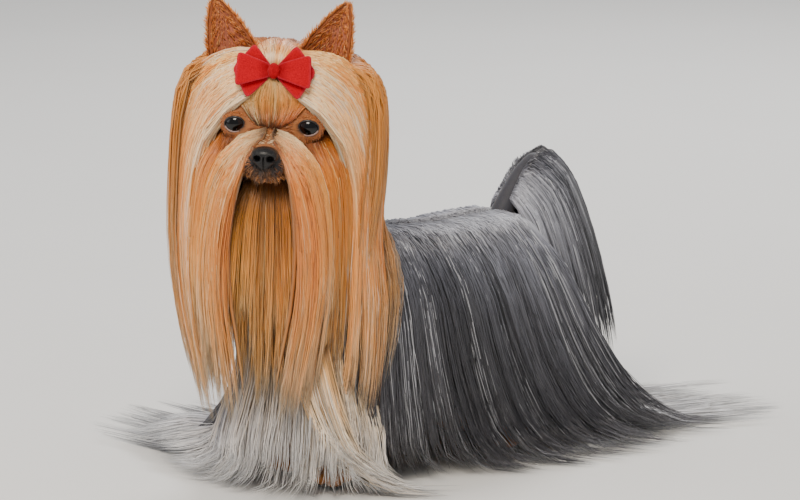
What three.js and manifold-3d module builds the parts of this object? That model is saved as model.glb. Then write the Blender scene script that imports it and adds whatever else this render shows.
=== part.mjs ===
// A Yorkshire terrier in full show coat, standing, with its head turned to its left and a red bow on its topknot.
// Millimetres, +Z up. The body faces -Y and its left side is +X. The origin is the middle of the footprint, on the floor.
import * as THREE from "three";
import { mergeVertices } from "three/addons/utils/BufferGeometryUtils.js";
import Module from "manifold-3d";

const wasm = await Module();
wasm.setup();

// Driving dimensions
const GAP = 0.33; // clearance between two nodes that touch
const BACK_Z = 143; // height of the level back
const RIB_HALF = 37; // half the width of the rib cage
const WITHERS_Y = -62; // where the neck leaves the back
const DOCK_Y = 82; // where the tail leaves the back
const FLOOR_LIFT = 0.45; // the lowest any lock lies over the floor
const FORE_LEG = { x: 21, y: -64 };
const HIND_LEG = { x: 23, y: 62 };
const SKULL = { x: 0, y: -95, z: 225 }; // middle of the skull
const HEAD_YAW = 46; // degrees that the head turns to the dog's left
const HEAD_ROLL = 2.5;
const EYE_R = 8;
const COAT_TIP = 1.2; // half width of a lock at its tip
const FLAT_BELOW = 26; // height under which a lock turns its outer face up
const UNEVEN = 0.9; // how far the undersides of the locks on the floor differ in height
const LAYER = 4.8; // how far the outer of two layers of locks lies over the inner one

const V = (x, y, z) => new THREE.Vector3(x, y, z);
const rad = THREE.MathUtils.degToRad;
const mix = THREE.MathUtils.lerp;

// A seeded random draw between two values, the same on every run.
let seed = 8;
function draw(low, high) {
  seed = (seed * 1664525 + 1013904223) % 4294967296;
  return mix(low, high, seed / 4294967296);
}

// Steps through rows of [station, value, value ...] with a smooth blend between them.
function between(rows, at) {
  const last = rows.length - 1;
  let i = rows.findIndex((row) => row[0] > at) - 1;
  if (i === -2) i = last - 1;
  i = Math.max(0, Math.min(last - 1, i));
  const t = THREE.MathUtils.clamp((at - rows[i][0]) / (rows[i + 1][0] - rows[i][0]), 0, 1);
  return rows[i].slice(1).map((value, k) => mix(value, rows[i + 1][k + 1], t));
}

// A closed solid from rings of points, each ring joined to the next, the ends closed on their middle points.
function ringSolid(rings, first, last) {
  const points = [first, ...rings.flat(), last];
  const sides = rings[0].length;
  const faces = [];
  const at = (ring, k) => 1 + ring * sides + (k % sides);
  for (let k = 0; k < sides; k++) {
    faces.push(0, at(0, k + 1), at(0, k));
    faces.push(points.length - 1, at(rings.length - 1, k), at(rings.length - 1, k + 1));
    for (let ring = 0; ring + 1 < rings.length; ring++) {
      const [a, b, c, d] = [at(ring, k), at(ring, k + 1), at(ring + 1, k), at(ring + 1, k + 1)];
      faces.push(a, b, d, a, d, c);
    }
  }
  const geometry = new THREE.BufferGeometry().setFromPoints(points);
  geometry.setIndex(faces);
  return solidOf(geometry);
}

// A closed three.js geometry as a manifold solid, turned outwards.
function solidOf(geometry) {
  const bare = geometry.clone();
  for (const name of Object.keys(bare.attributes)) if (name !== "position") bare.deleteAttribute(name);
  const merged = mergeVertices(bare, 1e-4);
  const triVerts = new Uint32Array(merged.index.array);
  const make = (tris) =>
    new wasm.Manifold(new wasm.Mesh({ numProp: 3, vertProperties: merged.attributes.position.array, triVerts: tris }));
  const solid = make(triVerts);
  return solid.volume() > 0 ? solid : make(triVerts.reverse());
}

const join = (solids) => wasm.Manifold.union(solids);
const cut = (solid, tools) => (tools.length ? solid.subtract(join(tools)) : solid);

// The largest closed surface of a solid, so that a scrap or a sealed hollow is dropped.
function largest(solid) {
  const parts = solid.decompose().sort((a, b) => b.volume() - a.volume());
  return parts[0];
}

// A manifold solid as a named mesh.
function mesh(name, solid, material) {
  const made = largest(solid).getMesh();
  const geometry = new THREE.BufferGeometry();
  geometry.setAttribute("position", new THREE.BufferAttribute(Float32Array.from(made.vertProperties), 3));
  geometry.setIndex(new THREE.BufferAttribute(Uint32Array.from(made.triVerts), 1));
  geometry.computeVertexNormals();
  const out = new THREE.Mesh(geometry, material);
  out.name = name;
  return out;
}

// An ellipsoid in a frame given by a matrix.
function ball(centre, radii, frame, sides = 16, grow = 0) {
  const geometry = new THREE.SphereGeometry(1, sides, Math.round(sides * 0.6));
  geometry.scale(radii[0] + grow, radii[1] + grow, radii[2] + grow);
  geometry.translate(...centre);
  if (frame) geometry.applyMatrix4(frame);
  return solidOf(geometry);
}

// A limb: a line of [point, half width across X, half width along the other way] with round ends.
function limb(stations, sides, grow = 0) {
  const curve = new THREE.CatmullRomCurve3(stations.map((s) => s[0]));
  const count = (stations.length - 1) * 2;
  const rings = [];
  for (let i = 0; i <= count; i++) {
    const at = i / count;
    const point = curve.getPoint(at);
    const along = curve.getTangent(at);
    const across = V(1, 0, 0).addScaledVector(along, -along.x).normalize();
    const other = along.clone().cross(across);
    const [wide, deep] = between(stations.map((s, k) => [k, s[1], s[2]]), at * (stations.length - 1));
    rings.push(
      Array.from({ length: sides }, (_, k) => {
        const turn = (2 * Math.PI * k) / sides;
        return point
          .clone()
          .addScaledVector(across, Math.cos(turn) * (wide + grow))
          .addScaledVector(other, Math.sin(turn) * (deep + grow));
      }),
    );
  }
  const start = curve.getPoint(0).addScaledVector(curve.getTangent(0), -stations[0][1] * 0.4 - grow);
  const end = curve.getPoint(1).addScaledVector(curve.getTangent(1), stations.at(-1)[1] * 0.4 + grow);
  return ringSolid(rings, start, end);
}

// A form lofted along one axis from rows of [station, half width, top, bottom], its ends closed on a point.
function loft(rows, place, sides, grow = 0, square = 1) {
  const rings = rows.map(([at, half, top, bottom]) => {
    const middle = (top + bottom) / 2;
    const tall = (top - bottom) / 2 + grow;
    return Array.from({ length: sides }, (_, k) => {
      const turn = (2 * Math.PI * k) / sides;
      const [c, s] = [Math.cos(turn), Math.sin(turn)];
      const bulge = (value) => Math.sign(value) * Math.abs(value) ** square;
      return place(at, bulge(c) * (half + grow), middle + bulge(s) * tall);
    });
  });
  const [head, tail] = [rows[0], rows.at(-1)];
  const out = Math.sign(tail[0] - head[0]);
  const first = place(head[0] - out * (head[1] * 0.35 + grow), 0, (head[2] + head[3]) / 2);
  const last = place(tail[0] + out * (tail[1] * 0.35 + grow), 0, (tail[2] + tail[3]) / 2);
  return ringSolid(rings, first, last);
}

// A flat, tapered lock of hair through a line of points: two thin edges and a low ridge on its outer face. `up` is the
// way that its outer face looks at the root, and `shape` its width at the root, the middle and low down.
function lock({ points, shape, thick, up }, grow = 0) {
  const last = points.length - 1;
  const widths = [...shape.map((width, k) => [k / shape.length, width / 2]), [1, COAT_TIP]];
  let facing = up.clone();
  const rings = [];
  for (let i = 0; i < last; i++) {
    const along = points[i + 1].clone().sub(points[Math.max(0, i - 1)]).normalize();
    facing.lerp(V(0, 0, 1), THREE.MathUtils.clamp((FLAT_BELOW - points[i].z) / FLAT_BELOW, 0, 1));
    facing = facing.addScaledVector(along, -facing.dot(along)).normalize();
    const across = along.clone().cross(facing).normalize();
    const [half] = between(widths, i / last);
    const deep = thick * (1 - (0.45 * i) / last);
    const slope = Math.atan2(deep, half);
    const edge = half + grow / Math.tan(slope / 2);
    const base = -deep / 3 - grow;
    rings.push([
      points[i].clone().addScaledVector(across, edge).addScaledVector(facing, base),
      points[i].clone().addScaledVector(facing, (deep * 2) / 3 + grow / Math.cos(slope)),
      points[i].clone().addScaledVector(across, -edge).addScaledVector(facing, base),
    ]);
  }
  const tip = points[last].clone();
  tip.addScaledVector(tip.clone().sub(points[last - 1]).normalize(), grow * 4);
  return ringSolid(rings, points[0].clone().lerp(points[1], -0.05), tip);
}

// Keeps a lock's points over the floor by a third of its thickness, and no two locks quite level with each other.
function overFloor(points, lift) {
  const lowest = FLOOR_LIFT + 1 + lift + draw(0, UNEVEN);
  return points.map((p, k) => V(p.x, p.y, Math.max(p.z, lowest + (k % 2) * 0.1)));
}

// Materials
const finish = (color, roughness) => new THREE.MeshStandardMaterial({ color, roughness, metalness: 0 });
const TAN = finish(0xc98745, 0.5);
const STEEL = finish(0x50525c, 0.45);
const LEATHER = finish(0x17151a, 0.35);
const EYE = finish(0x140d0a, 0.05);
const FELT = finish(0xdd1f3c, 0.85);

// The head's own frame: x to its left, -y forward, z up, with the middle of the skull at zero.
const headFrame = new THREE.Matrix4()
  .makeTranslation(SKULL.x, SKULL.y, SKULL.z)
  .multiply(new THREE.Matrix4().makeRotationZ(rad(HEAD_YAW)))
  .multiply(new THREE.Matrix4().makeRotationY(rad(HEAD_ROLL)));
const onHead = (left, forward, up) => V(left, -forward, up).applyMatrix4(headFrame);

// Head: rows of [forward, half width, top, bottom]
const HEAD_ROWS = [
  [-35, 9, 12, -6],
  [-30, 18, 19, -14],
  [-20, 26, 25, -23],
  [-8, 29, 27, -29],
  [3, 29.5, 24.5, -32],
  [13, 27, 18, -34],
  [20, 23.5, 9, -35],
  [26, 20, -3, -36],
  [31, 16.5, -9.5, -37],
  [40, 14, -11, -37.5],
  [49, 12.2, -12.5, -36.5],
  [55, 9.5, -15, -34],
];
const EYE_AT = [20.5, 17.6, -8];

function headCore(grow) {
  return loft(HEAD_ROWS, (at, side, up) => onHead(side, at, up), 16, grow, 0.92);
}

const eyeBall = (s, grow) => ball([s * EYE_AT[0], -EYE_AT[1], EYE_AT[2]], [EYE_R, EYE_R, EYE_R], headFrame, 14, grow);

// Two lids: a thin shell over the eyeball with an almond opening turned a little outwards.
function lids(s) {
  const shell = ball([s * EYE_AT[0], -EYE_AT[1], EYE_AT[2]], [9.5, 9.5, 9.5], headFrame, 12);
  const turned = headFrame.clone().multiply(new THREE.Matrix4().makeRotationZ(rad(s * 14)));
  const opening = ball([s * 16.4, -29.5, EYE_AT[2] + 0.3], [6.1, 9, 4.4], turned, 10);
  return { shell, opening };
}

// The mouth line: a thin groove round the muzzle between the upper lip and the jaw.
function mouthGroove() {
  const line = [-1, -0.9, -0.6, -0.25, 0, 0.25, 0.6, 0.9, 1].map((s) =>
    onHead(s * 17, 60 - 27 * s ** 2 * 1.05, -31.5 + 2.2 * Math.abs(s)),
  );
  const curve = new THREE.CatmullRomCurve3(line);
  const spots = curve.getSpacedPoints(8);
  const inward = onHead(0, 30, -30);
  const rings = spots.map((p) => {
    const deep = inward.clone().sub(p).setZ(0).normalize();
    const at = (a, b) => p.clone().addScaledVector(deep, a).add(V(0, 0, b));
    return [at(-2.5, 0.9), at(2.6, 0.5), at(2.6, -0.5), at(-2.5, -0.9)];
  });
  return ringSolid(rings, spots[0].clone(), spots.at(-1).clone());
}

// Nose leather with two comma nostrils and a groove below.
function noseSolid(grow) {
  const body = ball([0, -55.5, -19.5], [7.6, 6.2, 5.4], headFrame, 12, grow);
  const foot = ball([0, -56.5, -24.5], [3.2, 4, 4.2], headFrame, 8, grow);
  return join([body, foot]);
}

function nostrils() {
  return [-1, 1].flatMap((s) => [
    ball([s * 3.6, -61.5, -20], [1.7, 3.2, 1.5], headFrame, 8),
    ball([s * 5.4, -60, -21.2], [1.7, 2.6, 0.8], headFrame, 6),
  ]);
}

// Ear: a pointed cup, open to the front, in rows of [share of the height, half width, depth of the cup].
const EAR_ROOT = [22, -2, 17];
const EAR_TIP = [38.5, -5, 60];
const EAR_ROWS = [
  [-0.3, 10, 8],
  [0, 13, 10],
  [0.2, 13.4, 9],
  [0.45, 11.2, 7],
  [0.7, 7.4, 4.6],
  [0.88, 3.6, 2.4],
];
const EAR_THICK = 1.8;

function earSolid(s, grow) {
  const root = V(s * EAR_ROOT[0], -EAR_ROOT[1], EAR_ROOT[2]);
  const tip = V(s * EAR_TIP[0], -EAR_TIP[1], EAR_TIP[2]);
  const rise = tip.clone().sub(root);
  const across = V(1, 0, 0).addScaledVector(rise.clone().normalize(), -rise.clone().normalize().x).normalize();
  const back = across.clone().cross(rise).normalize().multiplyScalar(across.clone().cross(rise).y > 0 ? 1 : -1);
  const thick = EAR_THICK / 2 + grow;
  const rings = EAR_ROWS.map(([t, half, cup]) => {
    const middle = root.clone().addScaledVector(rise, t);
    const arc = (offset, order) =>
      order.map((k) => {
        const turn = rad(k * 26 * (1 + 0.1 * grow));
        return middle
          .clone()
          .addScaledVector(across, (Math.sin(turn) / Math.sin(rad(78))) * (half + offset))
          .addScaledVector(back, (Math.cos(turn) - 0.2) * (cup + offset))
          .applyMatrix4(headFrame);
      });
    return [...arc(thick, [-3, -2, -1, 0, 1, 2, 3]), ...arc(-thick, [3, 2, 1, 0, -1, -2, -3])];
  });
  const foot = root.clone().addScaledVector(rise, -0.4).addScaledVector(back, 6).applyMatrix4(headFrame);
  return ringSolid(rings, foot, tip.clone().addScaledVector(rise, grow * 0.02).applyMatrix4(headFrame));
}

// Trunk: rows of [station along Y, half width, top, bottom]
const TRUNK_ROWS = [
  [-97, 9, BACK_Z - 12, 100],
  [-90, 22, BACK_Z - 3, 86],
  [-76, 31, BACK_Z + 7, 75],
  [WITHERS_Y, 35, BACK_Z + 10, 69],
  [-35, RIB_HALF, BACK_Z + 4, 67],
  [-5, RIB_HALF - 1, BACK_Z, 69],
  [25, RIB_HALF - 4, BACK_Z - 1.5, 75],
  [52, RIB_HALF - 4, BACK_Z - 0.5, 80],
  [74, RIB_HALF - 7, BACK_Z - 1, 83],
  [88, 21, BACK_Z - 6, 92],
  [95, 9, BACK_Z - 14, 106],
];
const TRUNK_SQUARE = 0.9; // how round the section is: 1 is an ellipse, and less is squarer
const trunkCore = (grow) => loft(TRUNK_ROWS, (at, side, up) => V(side, at, up), 20, grow, TRUNK_SQUARE);

// A point on the trunk, by its place along Y and its angle from the spine down that side, and so far over the skin.
function onTrunk(s, y, angle, over) {
  const [half, top, bottom] = between(TRUNK_ROWS, y);
  const bulge = (value) => Math.sign(value) * Math.abs(value) ** TRUNK_SQUARE;
  const side = bulge(Math.sin(rad(angle))) * (half + over);
  return V(s * side, y, (top + bottom) / 2 + bulge(Math.cos(rad(angle))) * ((top - bottom) / 2 + over));
}

const neckCore = (grow) =>
  limb(
    [
      [V(0, WITHERS_Y - 6, BACK_Z - 12), 29, 30],
      [V(-1, WITHERS_Y - 16, BACK_Z + 18), 26, 28],
      [V(-3, SKULL.y + 6, SKULL.z - 38), 24, 25],
      [V(-3, SKULL.y + 4, SKULL.z - 18), 22, 22],
    ],
    10,
    grow,
  );

// Tail: carried up from the dock, then level.
const TAIL_LINE = [
  [V(0, DOCK_Y - 6, BACK_Z - 8), 8, 8],
  [V(0, DOCK_Y + 3, BACK_Z + 9), 6.5, 6.5],
  [V(0, DOCK_Y + 14, BACK_Z + 23), 5, 5],
  [V(0, DOCK_Y + 25, BACK_Z + 30), 3.6, 3.6],
];
const tailCore = (grow) => limb(TAIL_LINE, 10, grow);

function foreLeg(s, grow) {
  const { x, y } = FORE_LEG;
  const leg = limb(
    [
      [V(s * x, y + 4, 92), 13, 16],
      [V(s * x, y + 3, 66), 11, 12],
      [V(s * x, y, 38), 8, 8.5],
      [V(s * x, y - 1, 14), 8, 8.5],
    ],
    8,
    grow,
  );
  return join([leg, paw(s * x, y - 7, grow)]);
}

function hindLeg(s, grow) {
  const { x, y } = HIND_LEG;
  const leg = limb(
    [
      [V(s * x, y - 4, 104), 14, 22],
      [V(s * (x + 2), y - 8, 76), 13, 18],
      [V(s * (x + 1), y + 8, 50), 9, 10],
      [V(s * x, y + 16, 30), 7, 8],
      [V(s * x, y + 10, 12), 8, 8.5],
    ],
    8,
    grow,
  );
  return join([leg, paw(s * x, y + 2, grow)]);
}

// A small round paw of four toes with a flat sole on the floor.
function paw(x, y, grow) {
  const pad = ball([x, y + 4, 7.5], [10.5, 13, 9.5], null, 8, grow);
  const toes = [-1.5, -0.5, 0.5, 1.5].map((k) =>
    ball([x + k * 5.2, y - 9 + Math.abs(k) * 2.6, 4.6], [2.7, 6.5, 5.4], null, 5, grow),
  );
  const floor = solidOf(new THREE.BoxGeometry(80, 80, 40).translate(x, y, -20));
  return join([pad, ...toes]).subtract(floor);
}

// Coat of the trunk: from the parting on the spine, over the ribs and down to the floor, where it trails. Every
// second lock lies in an outer layer, over the edges of its two neighbours.
const FLANK = { count: 15, from: -66, to: 78, shape: [12, 19, 20, 28], thick: 3.2, lift: 3 };
// Where each side's hem lies, in rows of [root along Y, reach out from the spine, trail back from the root].
const LEFT_HEM = [
  [-66, 50, -16],
  [-45, 60, 14],
  [-20, 82, 34],
  [20, 92, 56],
  [60, 97, 92],
  [84, 95, 130],
];
const RIGHT_HEM = [
  [-66, 176, -34],
  [-45, 190, -22],
  [-20, 180, -14],
  [10, 150, 2],
  [40, 118, 44],
  [84, 86, 130],
];

function flankLock(s, y, layer) {
  const [reach, trail] = between(s > 0 ? LEFT_HEM : RIGHT_HEM, y);
  const lift = FLANK.lift + layer * LAYER;
  const side = onTrunk(1, y, 90, lift).x + 1;
  const hang = (share, sweep, z) => V(s * mix(side, reach, share), y + 3 + trail * sweep, z);
  const points = [
    ...[2, 13, 40, 66].map((angle) => onTrunk(s, y + (angle / 90) * 3, angle, angle < 5 ? -3 : lift)),
    V(s * side, y + 3 + trail * 0.03, 104),
    hang(0.08, 0.16, 58),
    hang(0.24, 0.36, 20 + layer * LAYER),
    hang(0.5, 0.6, 4 + layer * LAYER),
    hang(0.8, 0.85, 2),
    hang(draw(1, 1.14), draw(1, 1.12), 2),
  ];
  return { ...FLANK, points: overFloor(points, layer * LAYER), up: V(s * 0.12, 0, 1) };
}

// Hair of the rump that trails behind on the floor.
const TRAIN = { count: 7, shape: [14, 17, 21, 24], thick: 3.2 };

function trainLock(k) {
  const side = mix(-1, 1, k / (TRAIN.count - 1));
  const far = DOCK_Y + mix(148, 184, 1 - side ** 2) + draw(-10, 10);
  const lift = (k % 2) * LAYER;
  const points = [
    V(side * 12, 84, 122),
    V(side * 18, 96 + lift, 112),
    V(side * 24, 104 + lift, 76),
    V(side * 30, 112 + lift, 34),
    V(side * 38 + 6, 134, 10 + lift),
    V(side * 44 + 14, mix(134, far, 0.4), 3 + lift),
    V(side * 50 + 24, mix(134, far, 0.75), 2),
    V(side * 54 + 36, far, 2),
  ];
  return { ...TRAIN, points: overFloor(points, lift), up: V(0, 1, 0.3) };
}

// Hair of the chest that falls in front of the fore legs and fans out on the floor, mostly to the dog's right.
const CHEST = { count: 8, shape: [12, 15, 17, 20], thick: 3.2 };
// Where its tips lie, in rows of [share from right to left, x, y].
const CHEST_HEM = [
  [0, -132, -122],
  [0.2, -100, -132],
  [0.4, -62, -120],
  [0.6, -22, -118],
  [0.8, 14, -106],
  [1, 42, -80],
];

function chestLock(k) {
  const share = k / (CHEST.count - 1);
  const turn = rad(mix(-84, 80, share));
  const [x, y] = between(CHEST_HEM, share);
  const lift = (k % 2) * LAYER;
  const ring = (reach, z) => V(Math.sin(turn) * (reach + lift), -76 - Math.cos(turn) * (reach - 5 + lift), z);
  const foot = ring(38, 14 + lift);
  const points = [
    ring(16, 114),
    ring(28, 104),
    ring(33, 66),
    ring(35, 34),
    foot,
    V(mix(foot.x, x, 0.4), mix(foot.y, y, 0.4), 3 + lift),
    V(mix(foot.x, x, 0.75), mix(foot.y, y, 0.75), 2),
    V(x + draw(-6, 6), y + draw(-5, 5), 2),
  ];
  return { ...CHEST, points: overFloor(points, lift), up: V(Math.sin(turn), -Math.cos(turn), 0.2) };
}

function trunkLocks() {
  const rows = [];
  for (const s of [-1, 1]) {
    for (let k = 0; k < FLANK.count; k++) {
      rows.push(flankLock(s, mix(FLANK.from, FLANK.to, k / (FLANK.count - 1)), k % 2));
    }
  }
  for (let k = 0; k < TRAIN.count; k++) rows.push(trainLock(k));
  for (let k = 0; k < CHEST.count; k++) rows.push(chestLock(k));
  return rows;
}

// Hair of the head. Angles go round the head from its front (0) to its back (180).
const FALL = { count: 19, from: 50, half: 56, back: 49, shape: [5, 18, 22, 19], thick: 3.2 };
const NAPE_SPLIT = 134; // the angle, on the left, at which the trunk lies behind the head
const OVER_COAT = 11; // how far over the trunk's skin the hair of the head lies

// Lays a point that would sink into the trunk on its coat instead, further down that side by as much as it sank.
function drape(point, lift, side) {
  const [half, top, bottom] = between(TRUNK_ROWS, point.y);
  const [wide, tall, middle] = [half + lift, (top - bottom) / 2 + lift, (top + bottom) / 2];
  const share = Math.min(0.999, Math.abs(point.x) / wide);
  const surface = middle + tall * Math.sqrt(1 - share ** 2);
  if (Math.abs(point.x) >= wide || point.z >= surface || point.y < TRUNK_ROWS[1][0]) return point;
  const angle = Math.asin((side * point.x) / wide) + (surface - point.z) / 44;
  if (angle < Math.PI / 2) return V(side * wide * Math.sin(angle), point.y, middle + tall * Math.cos(angle));
  return V(side * wide, point.y, middle - (angle - Math.PI / 2) * 44);
}

function fallLock(s, angle, layer) {
  const [sin, cos] = [Math.sin(rad(angle)), Math.cos(rad(angle))];
  const around = (reach, up) => onHead(s * sin * reach, cos * reach, up);
  const behind = THREE.MathUtils.smoothstep(angle, 100, 180);
  const lift = layer * LAYER;
  const full = mix(FALL.half, FALL.back, behind) + lift;
  const low = mix(-166, -140, behind);
  const dropSide = s > 0 && angle < NAPE_SPLIT ? 1 : -1;
  const underEar = 14 * Math.exp(-(((angle - 90) / 18) ** 2));
  const points = [
    around(15, 14 - underEar * 0.6),
    around(28, 26 - underEar + lift),
    around(full * 0.82, 19 - underEar * 0.3 + lift * 0.6),
    around(full * 0.98, -2),
    around(full * 1.03, -42),
    around(full, -88),
    around(full * 0.97, low * 0.76),
    around(full * draw(0.8, 0.92), low + draw(-10, 8)),
  ].map((point) => drape(point, OVER_COAT + lift, dropSide));
  return { ...FALL, points, up: onHead(0, 0, 1).sub(onHead(0, 0, 0)) };
}

// Cheek hair between the face and the fall.
const CHEEK = { count: 2, shape: [9, 16, 17, 15], thick: 3 };

function cheekLock(s, k) {
  const share = k / (CHEEK.count - 1);
  const turn = rad(mix(78, 58, share));
  const lift = k * LAYER;
  const around = (reach, up) => onHead(s * Math.sin(turn) * (reach + lift), Math.cos(turn) * (reach + lift), up);
  const points = [
    onHead(s * 17, mix(-2, 10, share), mix(12, 2, share)),
    onHead(s * mix(33, 27, share), mix(2, 14, share) + lift, mix(10, -4, share)),
    around(40, -30),
    around(42, -75),
    around(41, -115),
    around(38, -156 + draw(-8, 8)),
  ];
  return { ...CHEEK, points, up: onHead(s, 0.3, 0.6).sub(onHead(0, 0, 0)) };
}

// Whiskers: from the side of the muzzle, out over the lips and straight down.
const WHISKER = { count: 4, shape: [7, 12, 16, 14], thick: 3 };

function whiskerLock(s, k) {
  const share = k / (WHISKER.count - 1);
  const turn = rad(mix(15, 52, share));
  const lift = (k % 2) * LAYER;
  const place = (side, forward, up) =>
    onHead(s * (side + Math.sin(turn) * lift), forward + Math.cos(turn) * lift, up);
  const [side, forward] = [mix(14, 38, share), mix(48, 32, share)];
  const points = [
    onHead(s * 7, mix(46, 34, share), -26),
    place(mix(12, 18, share), mix(47, 35, share), -29),
    place(mix(14, 30, share), mix(48, 34, share), -47),
    place(side, forward, -78),
    place(side, forward - 2, -118),
    place(side * draw(0.8, 0.95), forward - 5, -158 + draw(-8, 8)),
  ];
  return { ...WHISKER, points, up: onHead(s * Math.sin(turn), Math.cos(turn), 0.3).sub(onHead(0, 0, 0)) };
}

// Beard: from the chin and lower lip straight down.
const BEARD = { count: 3, shape: [9, 13, 15, 13], thick: 3 };

function beardLock(k) {
  const across = mix(-11, 11, k / (BEARD.count - 1));
  const forward = 40 - (k % 2) * LAYER;
  const points = [
    onHead(across * 0.4, 42, -32),
    onHead(across * 0.8, forward, -46),
    onHead(across * 1.1, forward - 3, -80),
    onHead(across * 1.2, forward - 5, -118),
    onHead(across * 1.3, forward - 6, -148 + draw(-8, 8)),
  ];
  return { ...BEARD, points, up: onHead(0, 1, 0).sub(onHead(0, 0, 0)) };
}

// Topknot: hair drawn up from the brow to the bow, and out over the crown behind it.
const TOPKNOT = { count: 4, shape: [13, 9, 12, 14], thick: 4.5 };

function topknotLock(k) {
  const side = mix(-1, 1, k / (TOPKNOT.count - 1));
  const points = [
    onHead(side * 15, 18 - Math.abs(side) * 4, 0),
    onHead(side * 12, 22, 13),
    onHead(side * 5, 15, 27),
    onHead(side * 9, 5, 35),
    onHead(side * 15, -10, 35),
    onHead(side * 20, -24, 26),
  ];
  return { ...TOPKNOT, points, up: onHead(0, 1, 0.3).sub(onHead(0, 0, 0)) };
}

function headLocks() {
  const rows = [];
  for (let k = 0; k < FALL.count; k++) {
    const round = mix(FALL.from, 360 - FALL.from, k / (FALL.count - 1));
    rows.push(round < 180 ? fallLock(1, round, k % 2) : fallLock(-1, 360 - round, k % 2));
  }
  for (const s of [-1, 1]) {
    for (let k = 0; k < CHEEK.count; k++) rows.push(cheekLock(s, k));
    for (let k = 0; k < WHISKER.count; k++) rows.push(whiskerLock(s, k));
  }
  for (let k = 0; k < BEARD.count; k++) rows.push(beardLock(k));
  for (let k = 0; k < TOPKNOT.count; k++) rows.push(topknotLock(k));
  return rows;
}

// Tail plume: long hair that falls back and down from both sides of the tail, the furthest from its tip.
const PLUME = { count: 10, shape: [7, 13, 18, 18], thick: 3 };

function plumeLock(k) {
  const share = k / (PLUME.count - 1);
  const s = k % 2 ? 1 : -1;
  const root = mix(0.1, 1, share);
  const y = mix(DOCK_Y + 2, DOCK_Y + 25, root);
  const z = mix(BACK_Z + 4, BACK_Z + 30, root ** 0.7);
  const wide = mix(17, 6, share);
  const back = mix(118, 176, share);
  const points = [
    V(0, y - 2, z - 2),
    V(s * 6, y + 4, z + 4),
    V(s * wide * 0.9, mix(y + 9, back, 0.3), z - 14),
    V(s * wide * 1.1, mix(y + 9, back, 0.62), 106),
    V(s * wide * 1.2, mix(y + 9, back, 0.88), 62),
    V(s * wide * 1.2, back + 9, mix(40, 18, share) + draw(-5, 5)),
  ];
  return { ...PLUME, points, up: V(s * 0.8, 0, 0.6) };
}

const tailLocks = () => Array.from({ length: PLUME.count }, (_, k) => plumeLock(k));

// Feathering of a leg: short locks round the pastern that reach the floor.
const FEATHER = { count: 3, shape: [8, 12, 13], thick: 2.6 };

function legLocks(x, y) {
  return Array.from({ length: FEATHER.count }, (_, k) => {
    const turn = rad((k * 360) / FEATHER.count + 20);
    const out = (reach, z) => V(x + Math.sin(turn) * reach, y - Math.cos(turn) * reach, z);
    const points = [out(3, 42), out(10, 36), out(14, 16), out(18, 4), out(24, 1)];
    return { ...FEATHER, points: overFloor(points, 0), up: V(Math.sin(turn), -Math.cos(turn), 0.4) };
  });
}

// Bow: two folded wings in front, two behind and a knot. The plane faces forward and a little up.
const BOW_AT = [0, 22, 23];
const BOW_TILT = 18;
const WING_FRONT = [
  [1.5, 3.6],
  [21, 10.5],
  [22, 9],
  [21.5, -10],
  [20, -11],
  [1.5, -3.6],
];
const WING_BACK = [
  [1.5, 3.2],
  [11, 16.5],
  [13.5, 15.5],
  [24, 1],
  [16, -16.5],
  [13, -16],
  [1.5, -3.2],
];

function bowWing(s, outline, behind, grow = 0) {
  const corner = ([a, b]) => new THREE.Vector2(a + (a > 5 ? grow : -grow) * 1.2, b + Math.sign(b) * grow * 1.2);
  const shape = new THREE.Shape(outline.map(corner));
  const geometry = new THREE.ExtrudeGeometry(shape, { depth: 1.6 + 2 * grow, bevelEnabled: false });
  geometry.translate(2.4, 0, 1.2 - behind - grow);
  if (s < 0) geometry.rotateY(Math.PI).translate(0, 0, 4 - 2 * behind);
  return placeBow(geometry);
}

function placeBow(geometry) {
  geometry.rotateX(rad(90 - BOW_TILT));
  geometry.translate(BOW_AT[0], -BOW_AT[1], BOW_AT[2]);
  return solidOf(geometry.applyMatrix4(headFrame));
}

function bowKnot(grow) {
  const geometry = new THREE.SphereGeometry(1, 12, 7).scale(3.6 + grow, 4.6 + grow, 3.6 + grow).translate(0, 0, 2);
  return placeBow(geometry);
}

// Assembly: each node is cut clear of those that it meets.
const lockSet = (rows, grow) => rows.map((row) => lock(row, grow));
const [headRows, trunkRows, tailRows] = [headLocks(), trunkLocks(), tailLocks()];

const ears = [-1, 1].map((s) => earSolid(s, 0).subtract(headCore(GAP)));
const earsGrown = [-1, 1].map((s) => earSolid(s, GAP).subtract(headCore(0)));
const lidPairs = [-1, 1].map(lids);
const skullSolid = cut(join([headCore(0), ...lidPairs.map((l) => l.shell)]), [
  ...lidPairs.map((l) => l.opening),
  eyeBall(-1, GAP),
  eyeBall(1, GAP),
  mouthGroove(),
]);
const bow = {
  bow_knot: bowKnot(0),
  bow_front_right: bowWing(-1, WING_FRONT, 0).subtract(bowKnot(GAP)),
  bow_front_left: bowWing(1, WING_FRONT, 0).subtract(bowKnot(GAP)),
  bow_back_right: bowWing(-1, WING_BACK, 3).subtract(bowKnot(GAP)),
  bow_back_left: bowWing(1, WING_BACK, 3).subtract(bowKnot(GAP)),
};
const bowGrown = [
  bowKnot(GAP),
  ...[-1, 1].flatMap((s) => [bowWing(s, WING_FRONT, 0, GAP), bowWing(s, WING_BACK, 3, GAP)]),
];
const nose = cut(noseSolid(0), [headCore(GAP), ...nostrils()]);
const foreLegs = [-1, 1].map((s) => foreLeg(s, 0));
const hindLegs = [-1, 1].map((s) => hindLeg(s, 0));

const group = new THREE.Group();
const add = (name, solid, material) => group.add(mesh(name, solid, material));

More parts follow.
